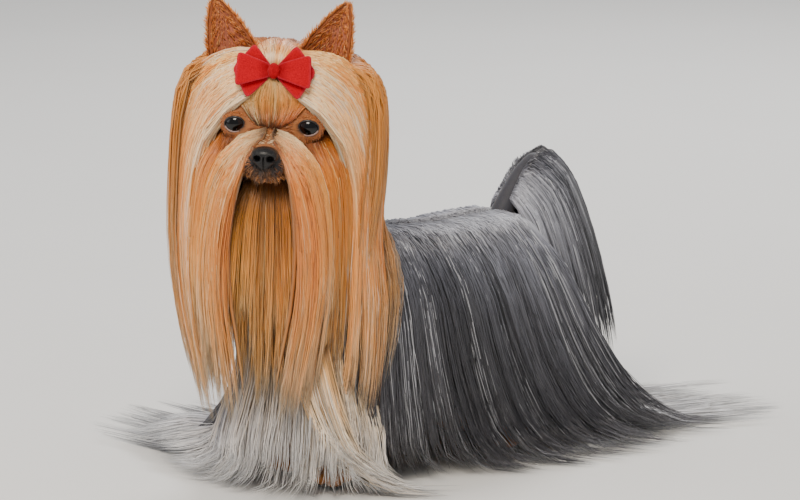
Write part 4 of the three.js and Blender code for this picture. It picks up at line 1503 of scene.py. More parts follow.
def strand_mesh(
    name: str, place: DogFrame, line: Array, radius: Array, flat: Array, colour: Array, root: Array,
    outward: Array, material: Material,
) -> Object:
    """Make closed three-sided tapered strands along lines.

    Args:
        name: The piece's name.
        place: The dog's frame.
        line: Points, shape (N, M, 3).
        radius: Radii, shape (N, M).
        flat: Thickness against width of each strand, shape (N,).
        colour: Linear colours, shape (N, M, 3).
        root: Each strand's root on the unwrapped skin, from 0 to 1, shape (N, 2).
        outward: The way out of the coat at each point.
        material: The hair.

    Returns:
        The finished piece.
    """
    count, rings = line.shape[:2]
    along = unit(np.gradient(line, axis=1))
    across = unit(np.cross(along, outward))
    up = np.cross(across, along)
    turn = np.radians([90.0, 210.0, 330.0])
    body = rings - 1
    corner = (
        line[:, :body, None] + across[:, :body, None]
        * (np.cos(turn)[None, None, :, None] * radius[:, :body, None, None]) + up[:, :body, None]
        * (np.sin(turn)[None, None, :, None] * radius[:, :body, None, None] * flat[:, None, None, None])
    )
    per = body * 3 + 1
    points = np.concatenate([corner.reshape(count, -1, 3), line[:, -1:]], axis=1).reshape(-1, 3)
    tint = np.concatenate([np.repeat(colour[:, :body], 3, axis=1), colour[:, -1:]], axis=1).reshape(-1, 3)
    quads = tube_grid(body, 3)
    last = (body - 1) * 3
    tris = np.array(
        [[2, 1, 0], [last, last + 1, per - 1], [last + 1, last + 2, per - 1], [last + 2, last, per - 1]]
    )
    start = (np.arange(count) * per)[:, None, None]
    mesh = mesh_from(
        name, place.metres(points), (quads[None] + start).reshape(-1, 4), (tris[None] + start).reshape(-1, 3)
    )
    paint(mesh, tint)
    patch = 0.003
    v = np.append(np.repeat(np.linspace(0, patch, body), 3), patch)
    u = np.append(np.tile([0, patch / 2, patch], body), patch / 2)
    corner_uv = np.stack([u, v], axis=-1)[None] + (0.01 + root * 0.975)[:, None]
    flat_uv = corner_uv.reshape(-1, 2)
    index = np.empty(len(mesh.loops), np.int32)
    mesh.loops.foreach_get("vertex_index", index)
    layer = mesh.uv_layers.new(name="OFBake")
    layer.data.foreach_set("uv", flat_uv[index].astype(np.float32).ravel())
    steps = np.linalg.norm(np.diff(line, axis=1), axis=2)
    run = np.concatenate([np.zeros((count, 1)), np.cumsum(steps, axis=1)], axis=1)
    # Each strand reads its own part of the pattern of fine lines
    apart = np.arange(count) * 7.31 % 400
    beside = radius[:, :body, None] * np.cos(turn)[None, None] + apart[:, None, None]
    own = np.stack([beside, np.broadcast_to(run[:, :body, None], beside.shape)], axis=-1)
    own = own.reshape(count, -1, 2)
    tip = np.stack([apart, run[:, -1]], axis=-1)[:, None]
    own = np.concatenate([own, tip], axis=1).reshape(-1, 2)
    lock_map = mesh.uv_layers.new(name="Lock")
    lock_map.data.foreach_set("uv", own[index].astype(np.float32).ravel())
    mesh.uv_layers.active = layer
    orient_outwards(mesh)
    LOG.info("%s: %d strands", name, count)
    return finish_piece(add_object(mesh, material))


# Near the crown the gold turns near-white cream: partly the hair's own pale tan, partly a painted sheen where
# the hair curves over the head.
GOLD = Tones(
    inner=(
        (0, "#C07A34"), (0.08, "#FFE6BC"), (0.28, "#FFD096"), (0.55, "#F6A654"), (0.85, "#F2AC60"),
        (1, "#F8E0B8"),
    ),
    outer=(
        (0, "#C0681E"), (0.12, "#F8C47A"), (0.3, "#F0A044"), (0.6, "#E4862C"), (0.85, "#E09850"),
        (1, "#F0D4AC"),
    ),
    pale="#FFF4E0", dark="#B8601A", pale_share=0.3, dark_share=0.2, spread=0.13,
)
WHISKERS = Tones(
    inner=(
        (0, "#B88850"), (0.06, "#F4D8A4"), (0.16, "#F8D094"), (0.32, "#ECA040"), (0.7, "#E89A44"),
        (1, "#F4DAB0"),
    ),
    outer=(
        (0, "#A85A18"), (0.08, "#D8883C"), (0.22, "#D87C28"), (0.5, "#DC8028"), (0.8, "#E8A458"),
        (1, "#F2DAB4"),
    ),
    pale="#FFE9C0", dark="#94420C", pale_share=0.2, dark_share=0.22, spread=0.15,
)
DEEP_GOLD = Tones(
    inner=((0, "#9A4E10"), (0.15, "#C06A14"), (0.4, "#DC8222"), (0.75, "#E49A40"), (1, "#EEC88E")),
    outer=((0, "#8E4A0E"), (0.15, "#C87018"), (0.4, "#DE8828"), (0.75, "#E69C48"), (1, "#ECC892")),
    pale="#F8D08A", dark="#7A3A08", dark_share=0.2, spread=0.16,
)
BACK_FALL = Tones(
    inner=((0, "#B8641C"), (0.2, "#E6983C"), (0.5, "#D88830"), (0.8, "#D0924C"), (1, "#D8BC96")),
    outer=((0, "#944A14"), (0.2, "#C4701E"), (0.5, "#AE6A2A"), (0.8, "#8E7050"), (1, "#968E86")),
    pale="#F8D9A4", dark="#6E3410", spread=0.13,
)
# Near the roots along the spine the steel is painted paler, as a painted sheen on the top of the back.
STEEL = Tones(
    inner=(
        (0, "#8E8F98"), (0.1, "#B4B7C2"), (0.26, "#7C7E8A"), (0.5, "#4A4B55"), (0.85, "#484850"),
        (1, "#8C8A8E"),
    ),
    outer=(
        (0, "#85868F"), (0.1, "#A2A5B0"), (0.26, "#5A5C67"), (0.5, "#2C2D35"), (0.85, "#2E2E36"),
        (1, "#6E6C72"),
    ),
    pale="#E4E6EE", dark="#121217", pale_share=0.22, dark_share=0.26, spread=0.2,
)
POOL = Tones(
    inner=((0, "#7C7C84"), (0.2, "#8A8A94"), (0.5, "#6C6C76"), (0.8, "#B8B6BA"), (1, "#FFFFFF")),
    outer=((0, "#74747C"), (0.2, "#7E7E88"), (0.5, "#484852"), (0.8, "#9C9A9E"), (1, "#F4EEE8")),
    pale="#FFFFFF", dark="#1E1E24", pale_share=0.3, dark_share=0.28, spread=0.24,
)
SILVER = Tones(
    inner=((0, "#5A5250"), (0.2, "#5C5C66"), (0.5, "#74747E"), (0.75, "#CFCDD2"), (1, "#FFFFFF")),
    outer=((0, "#C08848"), (0.2, "#E8B674"), (0.5, "#F4D8B0"), (0.75, "#FFF2E2"), (1, "#FFFFFF")),
    pale="#FFFFFF", dark="#38343A", pale_share=0.3, dark_share=0.26, spread=0.24,
)
PLUME = Tones(
    inner=((0, "#7A7B85"), (0.2, "#C8CAD6"), (0.5, "#A0A2AE"), (0.8, "#5A5B65"), (1, "#84858C")),
    outer=((0, "#33343D"), (0.2, "#3C3E49"), (0.5, "#202128"), (0.8, "#1A1A20"), (1, "#3C3D45")),
    pale="#ECEEF6", dark="#101014", pale_share=0.18, dark_share=0.28, spread=0.2,
)
LIPS = Tones(
    inner=((0, "#120C0A"), (0.5, "#1C1310"), (1, "#6A4220")),
    outer=((0, "#150E0A"), (0.5, "#2C1A12"), (1, "#8A5626")), pale="#C8A880", dark="#0D0909", pale_share=0.08,
)
# Darker towards the roots, partly the tan's own darker roots and partly painted shade under the chin, and
# lighter towards the tips.
THROAT = Tones(
    inner=((0, "#6A4210"), (0.15, "#8A5614"), (0.5, "#BE7A20"), (0.8, "#E0A048"), (1, "#F0CC90")),
    outer=((0, "#7A4610"), (0.15, "#A05E14"), (0.5, "#CC8028"), (0.8, "#E4A250"), (1, "#F2D4A0")),
    pale="#FADCA0", dark="#3A2008", dark_share=0.2, spread=0.18,
)
BROW = Tones(
    inner=((0, "#2E1A08"), (0.15, "#6A3E0E"), (0.45, "#B87E2C"), (0.75, "#D8A04C"), (1, "#F0C880")),
    outer=((0, "#6A300A"), (0.15, "#B85810"), (0.45, "#DA7E22"), (0.75, "#E89A44"), (1, "#F4C484")),
    pale="#FFE8B0", dark="#5A2C0A", pale_share=0.2, dark_share=0.2, spread=0.16,
)
DOWN = Tones(
    inner=((0, "#9A4A16"), (0.6, "#CC7028"), (1, "#EE9C4C")),
    outer=((0, "#B0561A"), (0.6, "#DE842E"), (1, "#F4B266")), pale="#FFD99A", dark="#6A2E0C", pale_share=0.2,
    spread=0.16,
)


def fur_radius(thick: float, t: Array, count: int, rng: np.random.Generator) -> Array:
    """Give short hairs their radii, each hair of its own thickness.

    Args:
        thick: The radius at a root.
        t: Shares of the length.
        count: How many hairs.
        rng: The random source.

    Returns:
        Radii, shape (count, len(t)).
    """
    return thick * np.interp(t, [0, 0.5, 1], [1.0, 0.8, 0.2])[None] * rng.uniform(0.7, 1.3, (count, 1))


@dataclass
class Coat:
    """The whole coat, sheet by sheet."""

    place: DogFrame
    ears: Ears
    skin: Skin

    def head_out(self, line: Array) -> Array:
        """The way out of the head's hair: away from the head's upright axis."""
        local = self.place.of_head(line)
        way = np.stack([local[..., 0], local[..., 1] + 2, np.clip(local[..., 2] + 10, 0, 40)], axis=-1)
        return unit(self.place.head_vectors(way))

    def trunk_out(self, line: Array) -> Array:
        """The way out of the trunk's coat: away from the spine, and up where hair lies on the floor."""
        way = np.stack([line[..., 0], np.zeros(line.shape[:-1]), line[..., 2] - 100], axis=-1)
        way[..., 2] = np.where(line[..., 2] < 100, 0, way[..., 2])
        return up_near_floor(way, line)

    def front_out(self, line: Array) -> Array:
        """The way out of the chest's coat: away from an upright axis inside the chest."""
        way = np.stack([line[..., 0], line[..., 1] + 62, np.zeros(line.shape[:-1])], axis=-1)
        return up_near_floor(way, line)

    def rear_out(self, line: Array) -> Array:
        """The way out of the rump's coat: backwards, and up where hair lies on the floor."""
        way = np.stack([line[..., 0] * 0.4, np.full(line.shape[:-1], 30.0), line[..., 2] * 0.12], axis=-1)
        return up_near_floor(way, line)

    def plume_out(self, s: int, line: Array) -> Array:
        """The way out of the plume on one side: sideways, back and up."""
        return unit(np.zeros(line.shape) + np.array([s, 0.4, 0.3]))

    def over_trunk(self, side: int) -> Fix:
        """Make a fix that lays the head's hair over the trunk's coat."""
        return lambda line, across, deep: drape(line, 9.0 + (deep * 5)[:, None], side)

    def over_skin(self, least: float) -> Fix:
        """Make a fix that keeps the face's hair out of the skin, deeper strands nearer to it."""
        return lambda line, across, deep: self.skin.above(line, least + deep * 1.4)

    def head_sheet(self, rows: list[list[Triple]], s: int) -> Array:
        """Turn guide points of the head's frame into the dog's, for one side.

        Args:
            rows: The guides, the shorter ones to be read as smooth curves.
            s: The side.

        Returns:
            Guides with equal counts of points.
        """
        count = max(len(r) for r in rows)
        same = []
        for row in rows:
            points = np.array(row, float)[None]
            if len(row) < count:
                points = catmull(points, np.linspace(0, 1, count)[None])
            same.append(points[0])
        return self.place.head(np.array(same) * np.array([s, 1.0, 1.0]))

    def face_sheet(
        self, name: str, guides: Array, tones: Tones, locks: int, strands: int, depth: float, **more: object
    ) -> Hair:
        """Lay out one sheet of the head's hair.

        Args:
            name: The piece's name.
            guides: Its guide curves in the dog's frame.
            tones: Its colours.
            locks: How many broad locks.
            strands: How many strands.
            depth: How thick the sheet is.
            **more: Other fields of the sheet.

        Returns:
            The sheet.
        """
        return Hair(name, guides, tones, "tan_coat", locks, strands, self.head_out, depth, **more)

    def falls(self, s: int) -> list[Hair]:
        """The hair that falls on one side of the face.

        Args:
            s: The side.

        Returns:
            Its sheets.
        """
        name = Side(s).word
        # The left fall hangs straight over the shoulder, and the right one closes in towards the chest
        close = 0.0 if s > 0 else 1.0

        def wide(value: float, amount: float) -> float:
            """Draw a station of the right fall in towards the chest."""
            return value - amount * close

        front = self.head_sheet(
            [
                [
                    (6, 20, 13), (14, 22, 8), (23, 21, 1), (31, 18, -8), (38, 15, -20), (43, 14, -38),
                    (45, 16, -72), (wide(45, 3), 17, -112), (wide(43, 8), 17, -150), (wide(38, 12), 18, -190),
                ],
                [
                    (8, 14, 26), (22, 16, 23), (36, 13, 11), (45, 10, -6), (50, 10, -26), (52, 9, -52),
                    (52, 9, -85), (wide(52, 5), 9, -120), (wide(50, 11), 8, -152), (wide(45, 15), 9, -190),
                ],
                [
                    (10, 6, 33), (27, 8, 32), (43, 6, 22), (53, 4, 4), (57, 2, -18), (58, 1, -48),
                    (58, 1, -88), (wide(58, 6), 1, -126), (wide(56, 13), 2, -156), (wide(51, 18), 3, -190),
                ],
            ],
            s,
        )
        if s < 0:
            front = self.narrow(front, 0.93)
        cheek = self.head_sheet(
            [
                [
                    (17, 29, -20), (21, 30, -27), (25, 30.5, -39), (28, 30, -62), (30, 28, -94),
                    (wide(29, 2), 27, -130), (wide(27, 4), 26, -168),
                ],
                [
                    (30, 8, -8), (36, 10, -18), (40, 12, -34), (43, 13, -64), (43, 13, -100),
                    (wide(43, 5), 12, -138), (wide(40, 9), 12, -174),
                ],
            ],
            s,
        )
        whisker = self.head_sheet(
            [
                [
                    (2, 30, -8), (12, 34.5, -10), (20, 37, -16), (27, 37.5, -26), (32, 37, -42),
                    (35, 36, -66), (36, 34, -96), (33, 31, -134), (27, 29, -186),
                ],
                [
                    (2, 42.5, -11), (11, 45, -15), (17, 46.5, -21.5), (23, 46.5, -31), (28, 44, -50),
                    (31, 42, -74), (31, 40, -102), (27, 38, -136), (21, 36, -184),
                ],
                [
                    (6, 51.5, -19), (11, 51.5, -25), (14, 51, -33), (16.5, 50, -46), (19, 48, -64),
                    (20, 46, -86), (19, 44, -112), (15, 42, -140), (10, 40, -180),
                ],
            ],
            s,
        )
        return [
            # The cheek hair takes the deeper tan: partly its own deeper colour, partly painted shade at the
            # sides of the muzzle.
            self.face_sheet(
                f"cheek_hair_{name}", cheek, DEEP_GOLD, 22, 900, 6, seed=20 + s, backing=50, width=0.05,
                short=0.4, ragged=0.1, fix=self.over_skin(0.3),
            ),
            self.face_sheet(
                f"whiskers_{name}", whisker, WHISKERS, 26, 1500, 5, seed=30 + s, backing=50, width=0.06,
                short=0.4, ragged=0.08, fix=self.over_skin(0.1),
            ),
            self.face_sheet(
                f"front_fall_{name}", front, GOLD, 30, 1750, 6, seed=40 + s, backing=70, rings=10, short=0.4,
                width=0.045, wave=2.6, fix=self.over_trunk(s),
            ),
        ]

    def narrow(self, guides: Array, share: float) -> Array:
        """Draw guides of the dog's right side in towards the head's middle."""
        local = self.place.of_head(guides)
        local[..., 0] *= share
        return self.place.head(local)

    def back_fall(self) -> list[Hair]:
        """The hair that falls from the crown round the back of the head."""
        sheets = []
        plain = replace(BACK_FALL, inner=BACK_FALL.outer)
        tones = {"left": BACK_FALL, "behind": plain, "right": BACK_FALL.swapped()}
        for name, start, stop, side in (
            ("left", 79, 134, 1), ("behind", 130, 212, -1), ("right", 208, 281, -1)
        ):
            rows = []
            for angle in np.linspace(start, stop, 5):
                turn = math.radians(angle)
                behind = float(ease((180 - abs(180 - angle) - 100) / 80))
                full = float(mix(58, 49, behind))
                low = float(mix(-176, -146, behind))
                ear = 9 * math.exp(-(((min(angle, 360 - angle) - 90) / 18) ** 2))
                ring = [(13, 29 - ear * 0.8), (30, 32 - ear), (full * 0.84, 22 - ear * 0.3), (full * 0.98, 1)]
                ring += [(full * 1.02, -42), (full, -88), (full * 0.97, low * 0.78), (full * 0.84, low)]
                points = np.array([(math.sin(turn) * r, math.cos(turn) * r, up) for r, up in ring])
                if name == "right":
                    points[:, 0] *= np.interp(points[:, 2], [low, -90], [0.7, 0.92])
                if name == "left":
                    points[:, 0] *= np.interp(points[:, 2], [low, -90, -20], [0.8, 0.92, 1.0])
                rows.append(self.place.head(points))
            sheets.append(
                Hair(
                    f"back_fall_{name}", np.array(rows), tones[name], "tan_coat", 28, 900, self.head_out, 7,
                    seed=int(50 + start), backing=80, rings=10, short=0.42, wave=2.8,
                    fix=self.over_trunk(side),
                )
            )
        return sheets

    def brow(self) -> list[Hair]:
        """The hair drawn up from the brow to the bow, the pouf over the crown, the lips and the throat."""
        spread = np.linspace(-1, 1, 7)
        fan, pouf, throat, lip = [], [], [], []
        for v in spread:
            fan.append(
                [
                    (10 * v, 29 - 5 * v * v, -10 + 3 * v * v), (16 * v, 25 - 4 * v * v, -3 + 4 * v * v),
                    (20 * v, 23 - 5 * v * v, 6), (14 * v, 23 - 3 * v * v, 14), (5 * v, 22, 22),
                ]
            )
            pouf.append(
                [
                    (5 * v, 20, 24), (9 * v, 16, 31 - 2 * v * v), (13 * v, 8, 36 - 6 * v * v),
                    (16 * v, -3, 36 - 9 * v * v), (19 * v, -15, 31 - 8 * v * v),
                    (23 * v, -27, 20 - 4 * v * v),
                ]
            )
            throat.append(
                [
                    (12 * v, 41 - 6 * abs(v), -36), (17 * v, 40 - 5 * abs(v), -58), (19 * v, 37, -98),
                    (18 * v, 34, -136), (16 * v, 32, -172),
                ]
            )
            lip.append(
                [
                    (6 * v, 56 - 5 * v * v, -24), (7.5 * v, 56 - 6 * v * v, -28),
                    (8.5 * v, 54.5 - 6 * v * v, -33), (8.5 * v, 52.5 - 5 * v * v, -39),
                ]
            )
        throat, lip, fan, pouf = (self.head_sheet(rows, 1) for rows in (throat, lip, fan, pouf))
        return [
            self.face_sheet(
                "throat_hair", throat, THROAT, 20, 850, 6, seed=61, backing=50, width=0.05, short=0.4,
                ragged=0.08,
            ),
            self.face_sheet(
                "lip_hair", lip, LIPS, 14, 420, 1.2, seed=62, rings=6, radius=0.2, width=0.06, short=0.6,
                wave=0.6, ragged=0.5, gather=0.3, fix=self.over_skin(0.2),
            ),
            self.face_sheet(
                "brow_hair", fan, BROW, 24, 1700, 1.6, seed=63, rings=7, radius=0.22, wave=0.6, width=0.05,
                short=0.2, gather=0.3, ragged=0.55, fix=self.over_skin(0.2),
            ),
            self.face_sheet(
                "crown_hair", pouf, GOLD, 18, 700, 2.5, seed=64, rings=8, radius=0.3, wave=0.8, width=0.05,
                backing=20, gather=0.3,
            ),
        ]

    def flank(self, s: int) -> list[Hair]:
        """The trunk's coat on one side, from the spine to the floor.

        Args:
            s: The side.

        Returns:
            Its sheets, front and rear.
        """
        left = [
            (-82, 44, -14), (-66, 50, 2), (-45, 60, 24), (-20, 80, 42), (20, 92, 60), (60, 97, 88),
            (84, 95, 120),
        ]
        right = [
            (-82, 158, -44), (-66, 178, -34), (-45, 190, -22), (-20, 180, -14), (10, 150, 2), (40, 118, 44),
            (84, 86, 130),
        ]
        hem = np.array(left if s > 0 else right, float)
        falls = ((0.08, 0.34, 58), (0.24, 0.56, 20), (0.5, 0.72, 3), (0.8, 0.88, 1), (1.08, 1.05, 1))
        rows = []
        for y in np.linspace(-82, 82, 14):
            reach, trail = (float(v) for v in rows_at(hem, y))
            side = on_trunk(1.0, y, 90, 3.0)[0] + 1
            top = [on_trunk(float(s), y + a / 12, a, -0.5 if a < 5 else 2.0) for a in (0.6, 13, 40, 66)]
            top.append(np.array([s * side, y + 7 + trail * 0.12, 104.0]))
            for share, sweep, z in falls:
                top.append(np.array([s * float(mix(side, reach, share)), y + 7 + trail * sweep, float(z)]))
            rows.append(np.array(top))
        guides = np.array(rows)
        name = Side(s).word
        sheets = []
        for part, piece in (("front", guides[:7]), ("rear", guides[6:])):
            tones = STEEL if part == "front" else STEEL.swapped()
            tones = replace(POOL, outer=STEEL.outer) if s < 0 and part == "front" else tones
            sheets.append(
                Hair(
                    f"flank_hair_{part}_{name}", piece, tones, "steel_coat", 34, 1650 if s > 0 else 1000,
                    self.trunk_out, 7, seed=70 + s + len(part), backing=100, rings=10, radius=0.37,
                    short=0.24, wave=3.2, width=0.045,
                )
            )
        return sheets

    def train(self) -> Hair:
        """The hair of the rump that trails behind on the floor."""
        rows = []
        for side in np.linspace(-1, 1, 7):
            far = DOCK_Y + float(mix(158, 190, 1 - side**2))
            rows.append(
                [
                    (side * 10, 84, 124), (side * 18, 96, 112), (side * 24, 106, 76), (side * 30, 114, 34),
                    (side * 38 + 6, 134, 8), (side * 44 + 14, float(mix(134, far, 0.4)), 2),
                    (side * 50 + 24, float(mix(134, far, 0.75)), 1), (side * 54 + 36, far, 1),
                ]
            )
        return Hair(
            "train_hair", np.array(rows, float)[::-1], POOL, "steel_coat", 26, 950, self.rear_out, 7, seed=81,
            backing=60, rings=10, wave=4.0, short=0.26, width=0.045,
        )

    def round_chest(self, turn: float, reach: float, z: float) -> Triple:
        """Find a point at a reach from the upright axis of the chest."""
        return (math.sin(turn) * reach, -76 - math.cos(turn) * (reach - 1), z)

    def chest(self) -> list[Hair]:
        """The silver hair of the chest that falls to the floor and fans out there."""
        hem = np.array(
            [
                [0, -150, -104], [0.15, -112, -122], [0.3, -70, -134], [0.45, -30, -140], [0.55, 5, -136],
                [0.65, 26, -126], [0.8, 58, -96], [1, 84, -48],
            ]
        )
        rows = []
        for share in np.linspace(0, 1, 9):
            turn = math.radians(float(mix(-104, 122, share)))
            x, y = (float(v) for v in rows_at(hem, share))
            ring = partial(self.round_chest, turn)
            foot = ring(40, 12)
            crest = float(ease((0.3 - share) / 0.2))
            line = [ring(18, 118), ring(28, 104), ring(32, 70)]
            steps = (
                (0.04, 40), (0.2, 14 + 6 * crest), (0.45, 3 + 15 * crest), (0.75, 1 + 8 * crest), (1.06, 1)
            )
            line += [(float(mix(foot[0], x, k)), float(mix(foot[1], y, k)), z) for k, z in steps]
            rows.append(line)
        ends = [
            [(24, -106, 92), (32, -98, 52), (40, -86, 22), (54, -66, 5), (74, -44, 1), (94, -22, 1)],
            [(42, -92, 92), (48, -86, 52), (52, -74, 22), (64, -56, 5), (82, -34, 1), (100, -14, 1)],
        ]
        return [
            Hair(
                "chest_hair", np.array(rows, float), SILVER, "steel_coat", 26, 1850, self.front_out, 9,
                seed=82, backing=110, rings=10, wave=3.6, short=0.16, gather=0.55, width=0.05,
            ),
            Hair(
                "long_ends", np.array(ends, float), replace(SILVER, inner=SILVER.outer), "tan_coat", 12, 420,
                self.front_out, 7, seed=84, backing=6, rings=10, wave=5.0, short=0.45, width=0.08,
            ),
        ]

    def tail(self) -> list[Hair]:
        """The plume: hair that falls back and down from both sides of the tail."""
        rows = [
            [(2, 80, 150), (10, 80, 147), (18, 86, 124), (24, 93, 92), (28, 100, 58), (30, 106, 26)],
            [(2, 86, 158), (9, 88, 159), (16, 97, 138), (20, 108, 104), (22, 117, 66), (23, 124, 34)],
            [(2, 94, 168), (8, 98, 170), (13, 114, 148), (16, 130, 108), (17, 143, 66), (18, 152, 30)],
            [(1, 108, 176), (2, 114, 177), (1, 132, 154), (0, 152, 112), (0, 166, 64), (0, 174, 22)],
        ]
        sheets = []
        for side in Side:
            guides = np.array(rows, float) * np.array([side.value, 1.0, 1.0])
            out = partial(self.plume_out, side.value)
            sheets.append(
                Hair(
                    f"tail_plume_{side.word}", guides, PLUME, "steel_coat", 24, 1050, out, 5,
                    seed=90 + side.value, backing=50, rings=9, wave=2.8, short=0.4, width=0.045,
                )
            )
        return sheets

    def neck(self) -> Hair:
        """The hair of the neck, under the hair of the head."""
        rows = []
        for angle in np.linspace(-150, 150, 7):
            turn = math.radians(angle)
            steps = ((24, 200), (29, 185), (34, 150), (39, 110), (40, 60))
            rows.append([(math.sin(turn) * r, -80 - math.cos(turn) * r * 0.9, z) for r, z in steps])
        return Hair(
            "neck_hair", np.array(rows, float), BACK_FALL, "tan_coat", 20, 400, self.front_out, 3, seed=83,
            backing=40, rings=7,
        )

    def legs(self) -> list[Hair]:
        """The feathering of the four legs."""
        sheets = []
        for side in Side:
            for end, y0, x0 in (("front", -64, 21), ("rear", 66, 23)):
                x, rows = side.value * x0, []
                for angle in np.linspace(0, 360, 7):
                    turn = math.radians(angle)
                    lean = 4 if end == "rear" else 0
                    rows.append(
                        [
                            (x + math.sin(turn) * r, y0 + lean - math.cos(turn) * r, z)
                            for r, z in ((8, 84), (12, 66), (11, 40), (13, 16), (17, 3), (20, 1))
                        ]
                    )
                sheets.append(
                    Hair(
                        f"leg_hair_{end}_{side.word}", np.array(rows, float),
                        SILVER if end == "front" else DEEP_GOLD, "tan_coat", 12, 160, self.round_leg(x, y0),
                        2, seed=int(100 + x + y0), backing=14, rings=7,
                    )
                )
        return sheets

    def round_leg(self, x: float, y: float) -> Outward:
        """Make the way out of one leg's hair."""
        return lambda line: unit(line * np.array([1.0, 1, 0]) - np.array([x, y, 0.0]) + np.array([0, 0, 4.0]))

    def down(self, side: Side, material: Material) -> None:
        """Grow the short fur of one ear, with the longer fringe of its edges.

        Args:
            side: Which ear.
            material: The hair.
        """
        rng = np.random.default_rng(200 + side.value)
        count, rings = 1700, 4
        kind = rng.random(count)
        height = rng.random(count) ** 0.8 * 0.98
        arc = rng.uniform(-1, 1, count)
        fringe = kind < 0.3
        arc = np.where(fringe, np.sign(arc) * (0.93 + 0.07 * rng.random(count)), arc)
        inside = (kind > 0.3) & (kind < 0.62)
        over = np.where(inside, -0.7, 0.7)
        s = side.value
        start = self.ears.surface(s, height, arc, over)
        rise = unit(self.ears.surface(s, height + 0.03, arc, over) - start)
        mid = self.ears.surface(s, height, arc, 0.0)
        normal = unit(start - mid)
        edge = unit(self.ears.surface(s, height, arc * 1.04, over) - start)
        length = np.where(
            fringe, rng.uniform(4, 8.5, count), rng.uniform(2.5, 5.5, count)
        ) * np.interp(height, [0, 0.3, 1], [1.5, 1, 0.6])
        t = np.linspace(0, 1, rings)
        way = rise + normal * np.where(
            fringe, 0.1, 0.28
        )[:, None] + edge * np.where(fringe, 0.75, 0.0)[:, None]
        way = unit(way + rng.normal(0, 0.12, (count, 3)))
        curl = normal * (rng.normal(0.25, 0.2, count))[:, None]
        local = start[:, None] + (
            way[:, None] * t[None, :, None] + curl[:, None] * (t**2)[None, :, None] * 0.3
        ) * length[:, None, None]
        line = self.place.head(local)
        radius = fur_radius(0.3, t, count, rng)
        share = np.where(inside, 0.0, 1.0)
        colour = DOWN.colour(share, np.broadcast_to(t, (count, rings)), rng.random(count), rng)
        outward = np.broadcast_to(self.place.head_vectors(normal)[:, None], line.shape)
        root = np.stack([arc * 0.5 + 0.5, height], axis=-1)
        strand_mesh(
            f"ear_fur_{side.word}", self.place, line, radius, np.ones(count), colour, root, outward, material,
        )

    def face_fur(self, material: Material) -> None:
        """Grow the short fur of the face: up the brow, out from the eyes, over the muzzle, down the cheeks.

        Args:
            material: The hair.
        """
        rng = np.random.default_rng(301)
        rings = 4
        start, normal = self.skin.face_spots(8400, rng)
        count = len(start)
        side, ahead, up = start.T
        s = np.sign(side)
        eye = np.stack([s * EYE_AT[0], np.full(count, EYE_AT[1]), np.full(count, EYE_AT[2])], axis=-1)
        away = start - eye
        far = np.linalg.norm(away, axis=1)
        near = ease((17 - far) / 6)[:, None]
        brow = (ease((up + 10) / 5) * ease((31 - ahead) / 4))[:, None]
        snout = ease((ahead - 29) / 5)[:, None]
        low = ease((-22 - up) / 6)[:, None]
        ways = [
            np.stack([s * a, np.full(count, b), np.full(count, c)], axis=-1)
            for a, b, c in ((0.5, -0.4, -0.75), (0.2, -0.3, 0.95), (0.9, -0.4, -0.1), (0.45, -0.2, -0.85))
        ]
        flow = mix(mix(ways[0], ways[1], brow), mix(ways[2], ways[3], low), snout)
        flow = mix(unit(flow), unit(away), near * 0.75)
        flow = unit(flow - normal * (flow * normal).sum(axis=1, keepdims=True))
        way = unit(flow + normal * 0.3 + rng.normal(0, 0.12, (count, 3)))
        length = rng.uniform(4.0, 7.5, count) * mix(1.0, 0.45, ease((12.5 - far) / 3))
        length = length * mix(1.0, 0.7, snout[:, 0])
        t = np.linspace(0, 1, rings)
        run = way[:, None] * (t[None, :, None] * length[:, None, None])
        bend = normal[:, None] * ((t**2)[None, :, None] * length[:, None, None]) * 0.16
        line = self.place.head(start[:, None] + run - bend)
        radius = fur_radius(0.2, t, count, rng)
        middle = np.exp(-((side / 9) ** 2))[:, None, None]
        band = (ease((up + 24) / 5))[:, None, None]
        temple, stop, lips, bridge, cheek = (
            mix(rgb(root), rgb(tip), t[None, :, None])
            for root, tip in (
                ("#A84E10", "#E89040"), ("#4A2C0A", "#B0782C"), ("#8A4A1C", "#D08A48"),
                ("#C89A6A", "#FBE6C4"), ("#8E420E", "#D47C2C"),
            )
        )
        forehead = mix(temple, stop, middle)
        colour = mix(mix(cheek, forehead, brow[..., None]), mix(lips, bridge, band), snout[..., None])
        colour = colour * np.clip(rng.normal(1, 0.18, (count, 1, 1)), 0.5, 1.6)
        outward = np.broadcast_to(self.place.head_vectors(normal)[:, None], line.shape)
        root = np.stack([side / 70 + 0.5, np.clip((ahead + up + 46) / 110, 0, 1)], axis=-1)
        strand_mesh(
            "face_fur", self.place, line, radius, np.ones(count), colour, root, outward, material
        )

    def build(self) -> None:
        """Grow every sheet and all the short fur."""
        hair = hair_material()
        sheets = [*self.back_fall(), *self.falls(1), *self.falls(-1), *self.brow()]
        sheets += [
            *self.flank(1), *self.flank(-1), self.train(), *self.chest(), *self.tail(), self.neck(),
            *self.legs(),
        ]
        for sheet in sheets:
            sheet.build(self.place, hair)
        for side in Side:
            self.down(side, hair)
        self.face_fur(hair)


